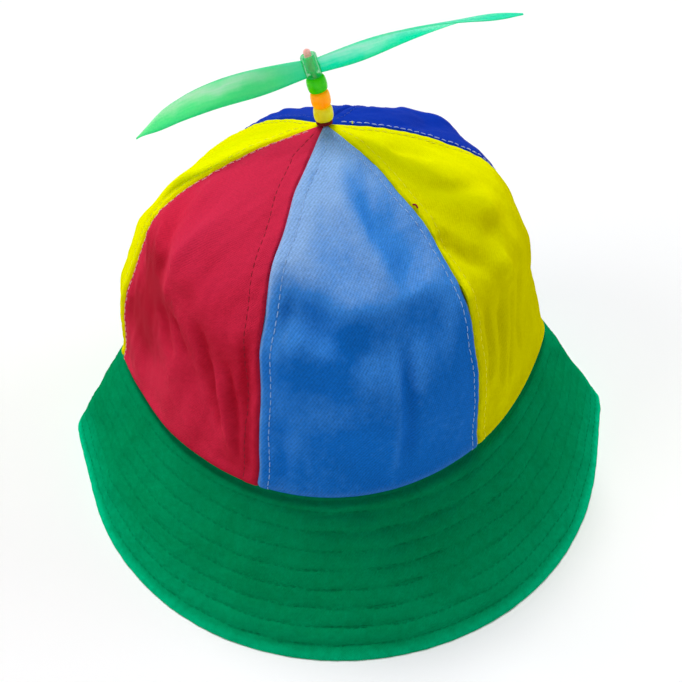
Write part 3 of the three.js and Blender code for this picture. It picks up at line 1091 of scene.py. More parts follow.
    def panel_object(self) -> bpy.types.Object:
        """Makes the cloth of the panel, with an inside and closed edges."""
        share = np.linspace(0.0, 1.0, self.columns)
        share = share - self.crowding * np.sin(FULL_TURN * share) / FULL_TURN
        along = self.row_shares()[:, None]
        start, end = self.edges(along)
        trim = np.degrees(self.seam_gap / self.form.radius(along))
        azimuth = (start + trim) + (end - start - 2.0 * trim) * share[None, :]
        outside, outward, cloth, wear = self.skin(azimuth, along)
        inside = outside - outward * self.wall
        count = outside.shape[0] * outside.shape[1]
        front = strip_faces(self.rows, self.columns, False)
        back = [[corner + count for corner in face[::-1]] for face in front]
        grid = Grid()
        under = cloth.reshape(-1, 3) + np.array([0.0, 0.0, 40.0])
        width = np.radians(self.form.radius(along))
        # Painted light and shade: lighter where the cloth faces the painted light direction and on fold
        # ridges, darker on cloth turned away and in fold hollows.
        painted_tone = self.fold_relief(azimuth, self.form.cloth_height(along), width)[1]
        sun = smooth(facing_window(outside), 0.0, 1.15) + painted_tone
        grid.add(
            np.concatenate([outside.reshape(-1, 3), inside.reshape(-1, 3)]),
            front + back + self.rim_faces(count),
            cloth=np.concatenate([cloth.reshape(-1, 3), under]),
            wear=np.concatenate([wear.ravel(), np.zeros(count)]),
            sun=np.concatenate([sun.ravel(), np.full(count, self.inside_painted_tone)]),
        )
        return grid.make(self.name, self.finish.make())

    def rim_faces(self, count: int) -> Faces:
        """Lists the faces that close the panel's edges, given the number of points of the outside."""
        last_row, last_column = self.rows - 1, self.columns - 1
        faces = []
        for column in range(last_column):
            low, high = column, last_row * self.columns + column
            faces.append([low, low + count, low + 1 + count, low + 1])
            faces.append([high, high + 1, high + 1 + count, high + count])
        for row in range(last_row):
            left, right = row * self.columns, row * self.columns + last_column
            above_left, above_right = left + self.columns, right + self.columns
            faces.append([left, above_left, above_left + count, left + count])
            faces.append([right, right + count, above_right + count, above_right])
        return faces

    def stitch_object(self, stitch: Topstitch) -> bpy.types.Object:
        """Makes the top stitching beside one seam."""
        along = np.linspace(0.004, self.form.along_at_radius(self.stitch_top), 500)
        start, end = self.edges(along)
        width = np.radians(self.form.radius(along))
        inset = np.minimum(stitch.inset, (end - start) * width * 0.3) / width
        azimuth = start + inset if stitch.side is Side.LEFT else end - inset
        places, outward, _, _ = self.skin(azimuth, along)
        grid = Grid()
        StitchRow(radius=stitch.girth).add_to(grid, places, outward, 50 + self.number)
        name = f"{self.name}_stitches_{stitch.side.name.lower()}"
        return grid.make(name, stitch.thread.make())

    def build(self) -> None:
        """Makes the panel and its stitching and puts them on the hat."""
        cloth = self.panel_object()
        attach(cloth, HAT)
        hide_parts(self.node)
        for stitch in self.stitches:
            sewn = self.stitch_object(stitch)
            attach(sewn, HAT)
            log.info("%s: stitching %.1f mm in", self.name, stitch.inset)
        log.info("%s: %d faces", self.name, len(cloth.data.polygons))


@dataclass
class LooseThread:
    """A short end of thread left over at a seam."""

    name: str
    slot: str
    finish: ThreadFinish
    azimuth: float
    height: float
    reach: tuple[float, float]
    arch: float
    curl: float = 0.5
    radius: float = 0.24
    steps: int = 30
    form: CrownForm = CrownForm()

    def build(self) -> None:
        """Makes the thread end, which arches off the cloth, and puts it on the hat."""
        azimuth = np.array([self.azimuth])
        along = self.form.along_at_height(np.array([self.height]))
        foot, out = self.form.point(azimuth, along)[0], self.form.normal(azimuth, along)[0]
        up = unit(self.form.point(azimuth, along + 0.01)[0] - foot)
        side = np.cross(up, out)
        share = np.linspace(0.0, 1.0, self.steps)[:, None]
        path = foot + side * (self.reach[0] * share + self.curl * np.sin(5.0 * share))
        path = path + up * (self.reach[1] * share + self.curl * np.sin(4.0 * share + 1.0))
        path = path + out * (0.3 + self.arch * np.sin(math.pi * share))
        grid = Grid()
        add_strand(grid, path, self.radius, out, 10)
        piece = grid.make(self.name, self.finish.make(), 70.0)
        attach(piece, HAT)
        log.info("%s: %d faces", piece.name, len(piece.data.polygons))


@dataclass
class Brim:
    """The sloping quilted brim: rows of stitching round it, puffed cloth between, a turned edge."""

    finish: TwillFinish
    thread: ThreadFinish
    form: CrownForm = CrownForm()
    spread_front: float = 43.2
    spread_side: float = 31.5
    skew: float = 1.6
    edge_turn: float = 6.0
    crease: float = 3.7
    crease_spread: float = 7.8
    bow: float = 1.2
    thickness: float = 2.0
    columns: int = 600
    rows: int = 98
    under_rows: int = 50
    nose_rows: int = 7
    first_row: float = 6.4
    row_pitch: float = 7.4
    row_count: int = 8
    row_turn: float = 11.0
    nose_reach: float = 1.25
    floor_gap: float = 0.02
    # The brim's even level on the painted light scale.
    painted_tone: float = 0.45

    def edge(self, azimuth: np.ndarray) -> np.ndarray:
        """Gives places on the brim's edge, on the surface that the hat lies on."""
        turn = np.radians(azimuth)
        seam = self.form.point(azimuth, np.zeros_like(azimuth)) - MIDDLE
        gain = (self.spread_front - self.spread_side) * np.cos(turn) ** 2
        crease = self.crease * self.form.crease_share(azimuth, self.crease_spread)
        reach = np.hypot(seam[..., 0], seam[..., 1]) + self.spread_side + gain + crease
        reach = reach + self.skew * np.sin(2.0 * turn)
        turned = np.radians(azimuth + self.edge_turn * np.sin(turn))
        return laid_flat(reach * np.sin(turned), -reach * np.cos(turned)) + MIDDLE

    def smooth_point(self, azimuth: np.ndarray, down: np.ndarray) -> np.ndarray:
        """Gives places on the upper side before quilting, from the seam (0) to the edge (1)."""
        azimuth, down = np.broadcast_arrays(np.asarray(azimuth, float), np.asarray(down, float))
        seam = self.form.point(azimuth, np.zeros_like(azimuth))
        outward = self.outward(azimuth)
        bow = self.bow * 4.0 * down * (1.0 - down)
        return seam + (self.edge(azimuth) - seam) * down[..., None] + outward * bow[..., None]

    def outward(self, azimuth: np.ndarray) -> np.ndarray:
        """Gives the level direction out from the middle of the hat."""
        turn = np.radians(azimuth)
        return np.stack([np.sin(turn), -np.cos(turn), np.zeros_like(turn)], -1)

    def normal(self, azimuth: np.ndarray, down: np.ndarray) -> np.ndarray:
        """Gives the direction out of the brim's upper side."""
        across = self.smooth_point(azimuth + 0.5, down) - self.smooth_point(azimuth - 0.5, down)
        slope = self.smooth_point(azimuth, down - 0.02) - self.smooth_point(azimuth, down + 0.02)
        return unit(np.cross(across, slope))

    def slant(self, azimuth: np.ndarray) -> np.ndarray:
        """Gives the brim's width along its slope."""
        low = self.smooth_point(azimuth, np.ones_like(azimuth))
        return np.linalg.norm(low - self.smooth_point(azimuth, np.zeros_like(azimuth)), axis=-1)

    def quilt_distances(self) -> np.ndarray:
        """Lists the rows of quilting by their distance from the edge."""
        return self.first_row + self.row_pitch * np.arange(self.row_count)

    def relief(
        self, azimuth: np.ndarray, down: np.ndarray
    ) -> tuple[np.ndarray, np.ndarray, np.ndarray]:
        """Works out the brim's fine shape.

        Args:
            azimuth: azimuths.
            down: shares of the way down the brim.

        Returns:
            How far the cloth stands out, its place laid flat, and how pale it is: scuffing near the edge
            and painted light on the sides.
        """
        azimuth, down = np.broadcast_arrays(azimuth, down)
        slant = self.slant(azimuth)
        from_edge = (1.0 - down) * slant
        reach = self.form.mean_radius + down * slant
        turn = np.radians(azimuth)
        cloth = np.stack([np.sin(turn) * reach, -np.cos(turn) * reach, np.zeros_like(reach)], -1)
        length = turn * reach
        total = np.zeros(down.shape)
        for number, distance in enumerate(self.quilt_distances()):
            off = from_edge - distance
            pucker = np.sin(length / 1.15 + 2.1 * number) * np.sin(length / 7.3 + number)
            total -= (0.24 + 0.04 * pucker) * bell(off, 0.9)
            drag = 0.6 + 0.4 * np.sin(length / 13.0 + 1.9 * number) * np.sin(length / 5.1 + number)
            total -= 0.9 * drag * bell(turn_from_front(azimuth) - 2.0, 24.0) * bell(off, 1.8)
            total += 0.07 * np.sin(length / (1.9 + 0.1 * number) + 1.3 * number) * bell(off - 1.6, 1.8)
        total -= 2.0 * bell(from_edge - slant, 2.2)
        total += 0.3 * (1.0 - smooth(from_edge, 2.4, 4.2))
        total -= (0.15 + 0.35 * bell(turn_from_front(azimuth), 50.0)) * bell(from_edge - 5.0, 3.2)
        soft = SoftNoise(71, 16.0, 60.0)
        fine = SoftNoise(72, 5.0, 13.0)
        calm = smooth(from_edge, 0.0, 14.0) * smooth(slant - from_edge, 0.0, 12.0)
        flat = (cloth[..., 0], cloth[..., 1])
        total += 0.5 * calm * soft.at(*flat) + 0.08 * fine.at(*flat)
        # Paler near the edge, partly from scuffing and partly painted light, which is stronger on the
        # left and right sides and reaches further up them.
        side_light = np.sin(turn) ** 2
        wear = (0.5 + 0.4 * side_light) * (1.0 - smooth(from_edge, 1.0, 6.0))
        wear = wear + (0.12 + 0.4 * side_light) * (1.0 - smooth(from_edge, 4.0, 30.0))
        return total, cloth, wear

    def skin(
        self, azimuth: np.ndarray, down: np.ndarray
    ) -> tuple[np.ndarray, np.ndarray, np.ndarray, np.ndarray]:
        """Gives the finished upper side: places, outward directions, places laid flat, and scuffing with
        painted side light.
        """
        azimuth, down = np.broadcast_arrays(np.asarray(azimuth, float), np.asarray(down, float))
        relief, cloth, wear = self.relief(azimuth, down)
        normal = self.normal(azimuth, down)
        return self.smooth_point(azimuth, down) + normal * relief[..., None], normal, cloth, wear

    def brim_object(self) -> bpy.types.Object:
        """Makes the brim as one closed ring of cloth."""
        azimuth = np.arange(self.columns)[None, :] * 360.0 / self.columns
        slant = self.slant(azimuth)
        end = 1.0 - 1.1 / slant
        down = np.linspace(0.0, 1.0, self.rows)[:, None] * end
        down_under = np.linspace(0.0, 1.0, self.under_rows)[:, None] * end
        top, _, cloth, wear = self.skin(azimuth, down)
        move_in = self.thickness * slant / self.form.seam_height
        relief, cloth_under, wear_under = self.relief(azimuth, down_under)
        inward = move_in - 0.55 * relief * smooth(down_under, 0.0, 0.1)
        under = self.smooth_point(azimuth, down_under) - self.outward(azimuth) * inward[..., None]
        middle = (top[-1] + under[-1]) / 2.0
        half = (top[-1] - under[-1]) / 2.0
        slope = unit(self.edge(azimuth[0]) - top[-4])
        swing = np.linspace(0.0, math.pi, self.nose_rows + 2)[1:-1][:, None, None]
        nose = middle + half * np.cos(swing) + slope * self.nose_reach * np.sin(swing)
        nose[..., 2] = np.maximum(nose[..., 2], self.floor_gap)
        rows = np.concatenate([top, nose, under[::-1]])
        nose_cloth = np.broadcast_to(cloth[-1], nose.shape) + np.array([0.0, 0.0, 1.0]) * swing
        notes = np.concatenate([cloth, nose_cloth, cloth_under[::-1] + np.array([0.0, 0.0, 60.0])])
        # Scuffing and painted side light go round the nose and, at half strength, underneath.
        nose_wear = np.broadcast_to(wear[-1], nose.shape[:2])
        worn_and_side_lit = np.concatenate([wear, nose_wear, wear_under[::-1] * 0.5])
        grid = Grid()
        grid.add(
            rows.reshape(-1, 3),
            [face[::-1] for face in ring_faces(len(rows), self.columns)],
            cloth=notes.reshape(-1, 3),
            wear=worn_and_side_lit.ravel(),
            sun=np.full(worn_and_side_lit.size, self.painted_tone),
        )
        return grid.make("brim_quilted", self.finish.make(), 70.0)

    def quilting_object(self) -> bpy.types.Object:
        """Makes the rows of stitching on the upper side."""
        grid = Grid()
        azimuth = np.linspace(0.0, 360.0, 1800)
        slant = self.slant(azimuth)
        row = StitchRow(2.3, 0.9, 0.17, 0.1, 5)
        for number, distance in enumerate(self.quilt_distances()):
            turned = azimuth + self.row_turn * number
            places, outward, _, _ = self.skin(turned, 1.0 - distance / self.slant(turned))
            row.add_to(grid, places, outward, 90 + number)
        log.info("brim: %d mm of slope at the front", round(float(slant[0])))
        return grid.make("brim_quilting_stitches", self.thread.make())

    def build(self) -> None:
        """Makes the brim and its quilting and puts them on the hat."""
        cloth = self.brim_object()
        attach(cloth, HAT)
        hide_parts("brim")
        quilting = self.quilting_object()
        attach(quilting, HAT)
        counts = [len(piece.data.polygons) for piece in (cloth, quilting)]
        log.info("brim: %d faces, %d faces of stitches", *counts)


@dataclass(frozen=True)
class PostLine:
    """The line of the cord above the crown, and the heights of what is threaded on it."""

    foot_lean: float = 3.0
    top_lean: float = 14.0
    crown_lean: float = 1.0
    foot_height: float = 160.0
    wrap_start: float = 0.3
    wrap_height: float = 0.9
    stack_gap: float = 0.3
    bead_height: float = 5.9
    bead_count: int = 3
    hub_height: float = 8.8
    hub_floor: float = 2.0
    loop_rise: float = 2.4

    @property
    def first_bead(self) -> float:
        """Where the lowest bead starts, from the crown's top."""
        return self.wrap_start + self.wrap_height + self.stack_gap

    @property
    def hub_start(self) -> float:
        """Where the propeller's hub starts."""
        return self.first_bead + self.bead_count * (self.bead_height + self.stack_gap)

    @property
    def loop_end(self) -> float:
        """Where the cord's round end is highest."""
        return self.hub_start + self.hub_height + self.loop_rise

    def matrix(self, distance: float) -> np.ndarray:
        """Gives the place and lean of the cord.

        Args:
            distance: how far along the cord, from the crown's top.

        Returns:
            A 4 by 4 matrix whose Z runs along the cord.
        """
        bent = min(max(distance, 0.0), self.hub_start)
        foot, top = math.radians(self.foot_lean), math.radians(self.top_lean)
        radius = self.hub_start / (top - foot)
        lean = foot + bent / radius
        axis = np.array([-math.sin(lean), 0.0, math.cos(lean)])
        place = np.array(
            [
                self.crown_lean - radius * (math.cos(foot) - math.cos(lean)),
                0.0,
                self.foot_height + radius * (math.sin(lean) - math.sin(foot)),
            ]
        )
        matrix = np.eye(4)
        matrix[:3, 0] = [math.cos(lean), 0.0, math.sin(lean)]
        matrix[:3, 1] = [0.0, 1.0, 0.0]
        matrix[:3, 2] = axis
        matrix[:3, 3] = place + axis * (distance - bent) + MIDDLE
        return matrix

    def place(self, distance: float, across: float, back: float) -> np.ndarray:
        """Gives a place beside the cord."""
        matrix = self.matrix(distance)
        return matrix[:3, :3] @ np.array([across, back, 0.0]) + matrix[:3, 3]


@dataclass
class Bead:
    """A moulded barrel bead with softly rounded ends and a drilled hole."""

    name: str
    number: int
    node: str
    finish: BeadFinish
    line: PostLine = PostLine()
    radius: float = 4.0
    hole: float = 1.3
    end_rim: float = 1.3
    steps: int = 28
    sides: int = 64

    def profile(self) -> np.ndarray:
        """Lists the bead's outline as radius and height, from its middle."""
        half = self.line.bead_height / 2.0
        turn = np.linspace(-0.5, 0.5, self.steps) * math.pi
        bulge = np.sqrt(np.maximum(np.cos(turn), 0.0))
        rim = self.hole + self.end_rim
        outside = np.stack([rim + (self.radius - rim) * bulge, half * np.sin(turn)], -1)
        lip = np.array([[self.hole + 0.35, half], [self.hole, half - 0.35]])
        return np.concatenate([outside, lip, lip[::-1] * np.array([1.0, -1.0])])

    def build(self) -> None:
        """Makes the bead and threads it on the cord."""
        start = self.line.first_bead + self.number * (self.line.bead_height + self.line.stack_gap)
        profile = self.profile()
        middle = self.line.matrix(start + self.line.bead_height / 2.0)
        points, faces = lathe(profile, self.sides, middle)
        grid = Grid()
        grid.add(points, faces, mould=points + 17.0 * self.number)
        made = grid.make(self.name, self.finish.make(), 60.0)
        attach(made, HAT)
        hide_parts(self.node)
        log.info("%s: %.1f mm across", self.name, 2.0 * self.radius)


@dataclass
class Cord:
    """The cord that holds the beads and the propeller: knot, wrap, twisted shaft and round end."""

    finish: ThreadFinish
    wrap_finish: ThreadFinish
    line: PostLine = PostLine()
    radius: float = 0.88
    strand: float = 0.8
    strand_gap: float = 0.62
    lay: float = 2.4
    sides: int = 20

    def shaft(self, grid: Grid) -> None:
        """Adds the two-ply shaft, from under the crown to the hub."""
        distances = np.arange(-9.5, self.line.hub_start + self.line.hub_floor + 1.2, 0.22)
        path = np.array([self.line.place(distance, 0.0, 0.0) for distance in distances])
        turn = around(self.sides)
        phase = distances[:, None] * math.pi / self.lay
        radii = self.radius * (0.8 + 0.2 * np.abs(np.cos(turn[None, :] - phase)))
        points, faces = tube(path, radii, self.sides, np.array([0.0, 1.0, 0.0]))
        thread = laid_flat(distances[:, None], turn * self.radius)
        grid.add(points, faces, thread=thread.reshape(-1, 3))

    def loop(self, grid: Grid) -> None:
        """Adds the doubled end in the hub."""
        low = self.line.hub_start + self.line.hub_floor + 0.9
        high = self.line.loop_end - self.strand * 1.75
        rise = np.linspace(low, high, 24)
        side = self.strand_gap
        swing = np.linspace(0.0, math.pi, 15)[1:-1]
        left = [self.line.place(distance, -side, 0.0) for distance in rise]
        bend = zip(high + side * np.sin(swing), -side * np.cos(swing))
        arch = [self.line.place(up, across, 0.0) for up, across in bend]
        right = [self.line.place(distance, side, 0.0) for distance in rise[::-1]]
        add_strand(grid, np.array(left + arch + right), self.strand, np.array([0.0, 1.0, 0.0]))

    def knot(self, grid: Grid) -> None:
        """Adds the overhand knot under the crown."""
        turn = np.linspace(0.0, 2.0 * math.pi, 120, endpoint=False)
        across = (np.sin(turn) + 2.0 * np.sin(2.0 * turn)) * 0.9
        back = (np.cos(turn) - 2.0 * np.cos(2.0 * turn)) * 0.9
        height = -np.sin(3.0 * turn) * 0.55 - 4.3
        path = np.array([self.line.place(*spot) for spot in zip(height, across, back)])
        add_strand(grid, np.concatenate([path, path[:1]]), 0.72, np.array([0.0, 0.0, 1.0]))

    def wrap_object(self) -> bpy.types.Object:
        """Makes the thread wound round the cord's foot, on the crown."""
        grid = Grid()
        turns = np.linspace(0.0, 1.0, 260)
        swing = turns * 4.6 * 2.0 * math.pi
        reach = 1.5 + 1.5 * np.abs(np.sin(turns * math.pi * 1.5)) ** 0.8
        height = 0.05 + 0.9 * turns
        spots = zip(height, reach * np.cos(swing), reach * np.sin(swing))
        path = np.array([self.line.place(*spot) for spot in spots])
        add_strand(grid, path, 0.42, np.array([0.0, 0.0, 1.0]))
        return grid.make("cord_wrap", self.wrap_finish.make(), 70.0)

    def build(self) -> None:
        """Makes the cord and puts it on the hat."""
        grid = Grid()
        self.shaft(grid)
        self.loop(grid)
        self.knot(grid)
        cord = grid.make("cord_twisted", self.finish.make(), 70.0)
        wrap = self.wrap_object()
        for piece in (cord, wrap):
            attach(piece, HAT)
            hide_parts("post")
            log.info("%s: %d faces", piece.name, len(piece.data.polygons))


@dataclass(frozen=True)
class BladeStation:
    """A blade's chord share, pitch and sweep share at a share of its length."""

    out: float
    chord: float
    pitch: float
    sweep: float


@dataclass
class Propeller:
    """The moulded propeller: a tube hub with two twisted blades."""

    finish: PropellerFinish
    hub_finish: PropellerFinish
    line: PostLine = PostLine()
    foot_radius: float = 3.2
    top_radius: float = 3.2
    inner_radius: float = 2.35
    hole: float = 1.2
    length: float = 80.0
    chord: float = 12.0
    thickness: float = 1.2
    sweep: float = 12.0
    root_height: float = 3.5
    droop_right: float = -1.3
    droop_left: float = 12.5
    stations: tuple[BladeStation, ...] = (
        BladeStation(0, 0.53, 76, 0), BladeStation(0.25, 0.84, 64, 0.08),
        BladeStation(0.5, 0.95, 41, 0.3), BladeStation(0.7, 1.02, 23, 0.52),
        BladeStation(0.85, 0.96, 11, 0.72), BladeStation(1, 0.06, 0, 0.92),
    )
    steps: int = 110
    across: int = 15
    hub_sides: int = 72

    def station_value(self, out: np.ndarray, key: str) -> np.ndarray:
        """Joins one value of the stations smoothly.

        Args:
            out: shares of the blade's length.
            key: the name of the value.

        Returns:
            The value at each share.
        """
        places = np.array([station.out for station in self.stations], float)
        values = np.array([getattr(station, key) for station in self.stations], float)
        slopes = np.gradient(values, places)
        slopes[1:-1] = (values[2:] - values[:-2]) / (places[2:] - places[:-2])
        slopes[0] = (values[1] - values[0]) / (places[1] - places[0])
        slopes[-1] = (values[-1] - values[-2]) / (places[-1] - places[-2])
        index = np.clip(np.searchsorted(places, out, side="left") - 1, 0, len(places) - 2)
        span = places[index + 1] - places[index]
        share = (out - places[index]) / span
        square, cube = share**2, share**3
        total = (2 * cube - 3 * square + 1) * values[index]
        total = total + (cube - 2 * square + share) * slopes[index] * span
        total = total + (3 * square - 2 * cube) * values[index + 1]
        return total + (cube - square) * slopes[index + 1] * span

    def blade_points(self, side: Side) -> tuple[np.ndarray, np.ndarray, np.ndarray]:
        """Gives the blade's surface, one ring of points for each step out.

        Args:
            side: which blade.

        Returns:
            The places round each section, their places on the mould and their shares of the chord.
        """
        droop = self.droop_right if side is Side.RIGHT else self.droop_left
        start = (self.inner_radius + self.foot_radius) / 2.0
        reach = start + (self.length - start) * np.linspace(0.0, 1.0, self.steps) ** 0.9
        out = reach / self.length
        chord = self.chord * np.maximum(self.station_value(out, "chord"), 0.05)
        pitch = np.radians(self.station_value(out, "pitch"))
        sweep = self.sweep * self.station_value(out, "sweep")
        share = np.linspace(-1.0, 1.0, self.across)
        rounded = np.sqrt(np.maximum(1.0 - np.abs(share) ** 2.4, 0.0))
        thick = self.thickness / 2.0 * (0.34 + 0.66 * rounded)
        thick = thick[None, :] * (1.0 - 0.45 * smooth(out, 0.55, 1.0))[:, None]
        camber = 0.055 * chord[:, None] * (1.0 - share[None, :] ** 2)
        zero = np.zeros_like(pitch)
        chordwise = np.stack([zero, -np.cos(pitch), np.sin(pitch)], -1)
        upward = np.stack([zero, np.sin(pitch), np.cos(pitch)], -1)
        middle = np.stack([reach, zero, self.root_height - droop * out**2], -1)
        middle = middle + chordwise * sweep[:, None]
        spine = middle[:, None] + chordwise[:, None] * (share[None, :] * chord[:, None] / 2.0)[..., None]
        top = spine + upward[:, None] * (camber + thick)[..., None]
        bottom = spine + upward[:, None] * (camber - thick)[..., None]
        ring = np.concatenate([top, bottom[:, ::-1]], axis=1)
        where = np.concatenate([share, share[::-1]])
        mould = laid_flat(side.value * reach[:, None], where[None, :] * chord[:, None] / 2.0)
        shares = np.broadcast_to(where[None, :], mould.shape[:2])
        if side is Side.LEFT:
            ring = ring * np.array([-1.0, -1.0, 1.0])
        return ring, mould, shares

    def blade_object(self, side: Side) -> bpy.types.Object:
        """Makes one blade."""
        ring, mould, shares = self.blade_points(side)
        matrix = self.line.matrix(self.line.hub_start)
        points = ring.reshape(-1, 3) @ matrix[:3, :3].T + matrix[:3, 3]
        faces = [face[::-1] for face in tube_faces(self.steps, ring.shape[1])]
        grid = Grid()
        grid.add(points, faces, mould=mould.reshape(-1, 3), share=shares.ravel())
        return grid.make(f"propeller_blade_{side.name.lower()}", self.finish.make(), 75.0)

    def hub_object(self) -> bpy.types.Object:
        """Makes the tube hub, with its floor drilled for the cord."""
        high, floor = self.line.hub_height, self.line.hub_floor
        profile = np.array(
            [
                [self.hole, 0.0],
                [self.foot_radius - 0.3, 0.0],
                [self.foot_radius, 0.3],
                [self.foot_radius + 0.2, high * 0.5],
                [self.top_radius, high - 0.35],
                [self.top_radius - 0.3, high],
                [self.inner_radius + 0.3, high],
                [self.inner_radius, high - 0.3],
                [self.inner_radius, floor + 0.2],
                [self.inner_radius - 0.2, floor],
                [self.hole, floor],
            ]
        )
        points, faces = lathe(profile, self.hub_sides, self.line.matrix(self.line.hub_start))
        grid = Grid()
        heights = np.repeat(profile[:, 1], self.hub_sides) / high
        grid.add(points, faces, mould=points - points.mean(0), share=heights - 0.75)
        return grid.make("propeller_hub", self.hub_finish.make(), 60.0)

    def build(self) -> None:
        """Makes the propeller and puts it on its own body."""
        for piece in (self.hub_object(), self.blade_object(Side.RIGHT), self.blade_object(Side.LEFT)):
            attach(piece, PROPELLER)
            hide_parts("propeller")
            log.info("%s: %d faces", piece.name, len(piece.data.polygons))


@dataclass(frozen=True)
class PhotoCamera:
    """The camera at the photograph's angle."""

    place: tuple[float, float, float] = (2.9, -334.2, 324.8)
    look_down: float = 39.78
    roll: float = 2.91
    lens: float = 47.86

    def build(self) -> None:
        """Makes the camera and looks through it."""
        down, roll = math.radians(self.look_down), math.radians(self.roll)
        back = Vector((0.0, -math.cos(down), math.sin(down)))
        up = Vector((0.0, math.sin(down), math.cos(down)))
        right = Vector((1.0, 0.0, 0.0))
        across = right * math.cos(roll) - up * math.sin(roll)
        upright = right * math.sin(roll) + up * math.cos(roll)
        data = bpy.data.cameras.new("photo_camera")
        data.lens = self.lens
        data.sensor_width = 36.0
        data.clip_start = 0.01
        camera = bpy.data.objects.new("photo_camera", data)
        turned = Matrix((across, upright, back)).transposed().to_4x4()
        camera.matrix_world = Matrix.Translation(Vector(self.place) * METRES) @ turned
        bpy.context.scene.collection.objects.link(camera)
        bpy.context.scene.camera = camera
        log.info("camera: %.1f degrees down", self.look_down)


@dataclass(frozen=True)
class SoftLight:
    """A far soft light, such as a large window or a lit wall."""

    name: str
    place: tuple[float, float, float]
    breadth: float
    strength: float

    def build(self) -> None:
        """Makes the light and aims it at the hat."""
        data = bpy.data.lights.new(self.name, "SUN")
        data.angle = math.radians(self.breadth)
        data.energy = self.strength
        light = bpy.data.objects.new(self.name, data)
        light.location = self.place
        light.rotation_euler = (-Vector(self.place)).to_track_quat("-Z", "Y").to_euler()
        bpy.context.scene.collection.objects.link(light)


@dataclass
class Studio:
    """The pale floor, the air that is bright at floor level and dimmer above, and the soft lights."""

    floor: FloorFinish = FloorFinish()
    floor_half: float = 12.0
    above: float = 0.14
    level: float = 1.0
    haze: float = 0.3
    air_colour: Rgb = (250, 251, 255)
    lights: tuple[SoftLight, ...] = (
        SoftLight("key_above", (-0.2, 0.62, 1.42), 24.0, 2.38),
        SoftLight("glint", (0.25, -0.8, 1.25), 5.0, 0.13),
        SoftLight("fill_left", (-1.15, -0.4, 0.75), 34.0, 0.55),
        SoftLight("fill_right", (1.25, 0.25, 0.6), 34.0, 0.5),
    )

    def build(self) -> None:
        """Makes the floor and the lights and sets how the picture is shown."""
        half = self.floor_half / METRES
        grid = Grid()
        corners = [[-half, -half, 0.0], [half, -half, 0.0], [half, half, 0.0], [-half, half, 0.0]]
        grid.add(np.array(corners), [[0, 1, 2, 3]])
        grid.make("floor", self.floor.make())
        for light in self.lights:
            light.build()
        self.air()
        bpy.context.scene.view_settings.view_transform = "Standard"
        log.info("studio: %d lights", len(self.lights))

    def air(self) -> None:
        """Makes the even light from all round."""
        world = bpy.data.worlds.new("studio_air")
        world.use_nodes = True
        tree = world.node_tree
        background = tree.nodes["Background"]
        background.inputs["Color"].default_value = linear(*self.air_colour)
        place = tree.nodes.new("ShaderNodeTexCoord")
        parts = tree.nodes.new("ShaderNodeSeparateXYZ")
        fade = tree.nodes.new("ShaderNodeMapRange")
        fade.interpolation_type = "SMOOTHSTEP"
        for socket, value in zip(fade.inputs[1:5], (0.0, self.haze, self.level, self.above)):
            socket.default_value = value
        tree.links.new(place.outputs["Generated"], parts.inputs[0])
        tree.links.new(parts.outputs[2], fade.inputs[0])
        tree.links.new(fade.outputs[0], background.inputs["Strength"])
        bpy.context.scene.world = world


# Each twill gives its colour, then deep for painted shade and pale for painted light, which also colours
# scuffed edges.
SKY_BLUE = TwillFinish(
    "twill_sky_blue", (62, 140, 226), (14, 106, 198), (182, 210, 240), pitch=1.1, contrast=0.16
)
RED = TwillFinish("twill_red", (218, 38, 70), (182, 18, 44), (208, 46, 84), contrast=0.07)
YELLOW = TwillFinish(
    "twill_yellow", (240, 238, 0), (216, 209, 0), (244, 244, 0), contrast=0.04, gloss=0.0
)
ROYAL_BLUE = TwillFinish("twill_royal_blue", (8, 50, 172), (4, 36, 150), (12, 62, 188), gloss=0.02)
GREEN = TwillFinish(
    "twill_green", (2, 137, 82), (0, 113, 62), (0, 208, 148), contrast=0.06, gloss=0.0
)

PALE_BLUE_THREAD = ThreadFinish("thread_pale_blue", (176, 210, 246), (122, 178, 238))
DARK_RED_THREAD = ThreadFinish("thread_dark_red", (170, 26, 50), (120, 14, 34))
PINK_THREAD = ThreadFinish("thread_pink", (255, 206, 196), (250, 150, 146))
YELLOW_THREAD = ThreadFinish("thread_yellow", (250, 248, 60), (236, 230, 10))
WHITE_THREAD = ThreadFinish("thread_white", (214, 226, 250), (150, 174, 230))
ROYAL_THREAD = ThreadFinish("thread_royal_blue", (44, 84, 196), (18, 50, 150))
GREEN_THREAD = ThreadFinish("thread_green", (0, 144, 90), (0, 126, 76), gloss=0.0)
# The cord has a painted glow.
CORD_FINISH = ThreadFinish(
    "cord_pink_brown", (255, 200, 190), (240, 150, 138), pitch=1.1, roughness=0.6, painted_glow=0.2
)
MAROON_THREAD = ThreadFinish("cord_maroon", (136, 20, 26), (80, 8, 12), 0.9, 0.6)

# The third colour of each plastic is its painted highlight.
BLADE_PLASTIC = PropellerFinish(
    "propeller_plastic", (0, 252, 212), (112, 253, 182), (236, 255, 246), (0, 240, 168), 0.85
)
HUB_PLASTIC = PropellerFinish(
    "propeller_hub_plastic", (0, 230, 140), (0, 230, 140), (60, 240, 176), (0, 210, 126),
    alpha=0.17, through=0.45, painted_highlight_share=0.3,
)


def on_both_sides(inset: float, thread: ThreadFinish) -> tuple[Topstitch, ...]:
    """Lists the same sewn line for both sides of a panel."""
    return Topstitch(Side.LEFT, inset, thread), Topstitch(Side.RIGHT, inset, thread)


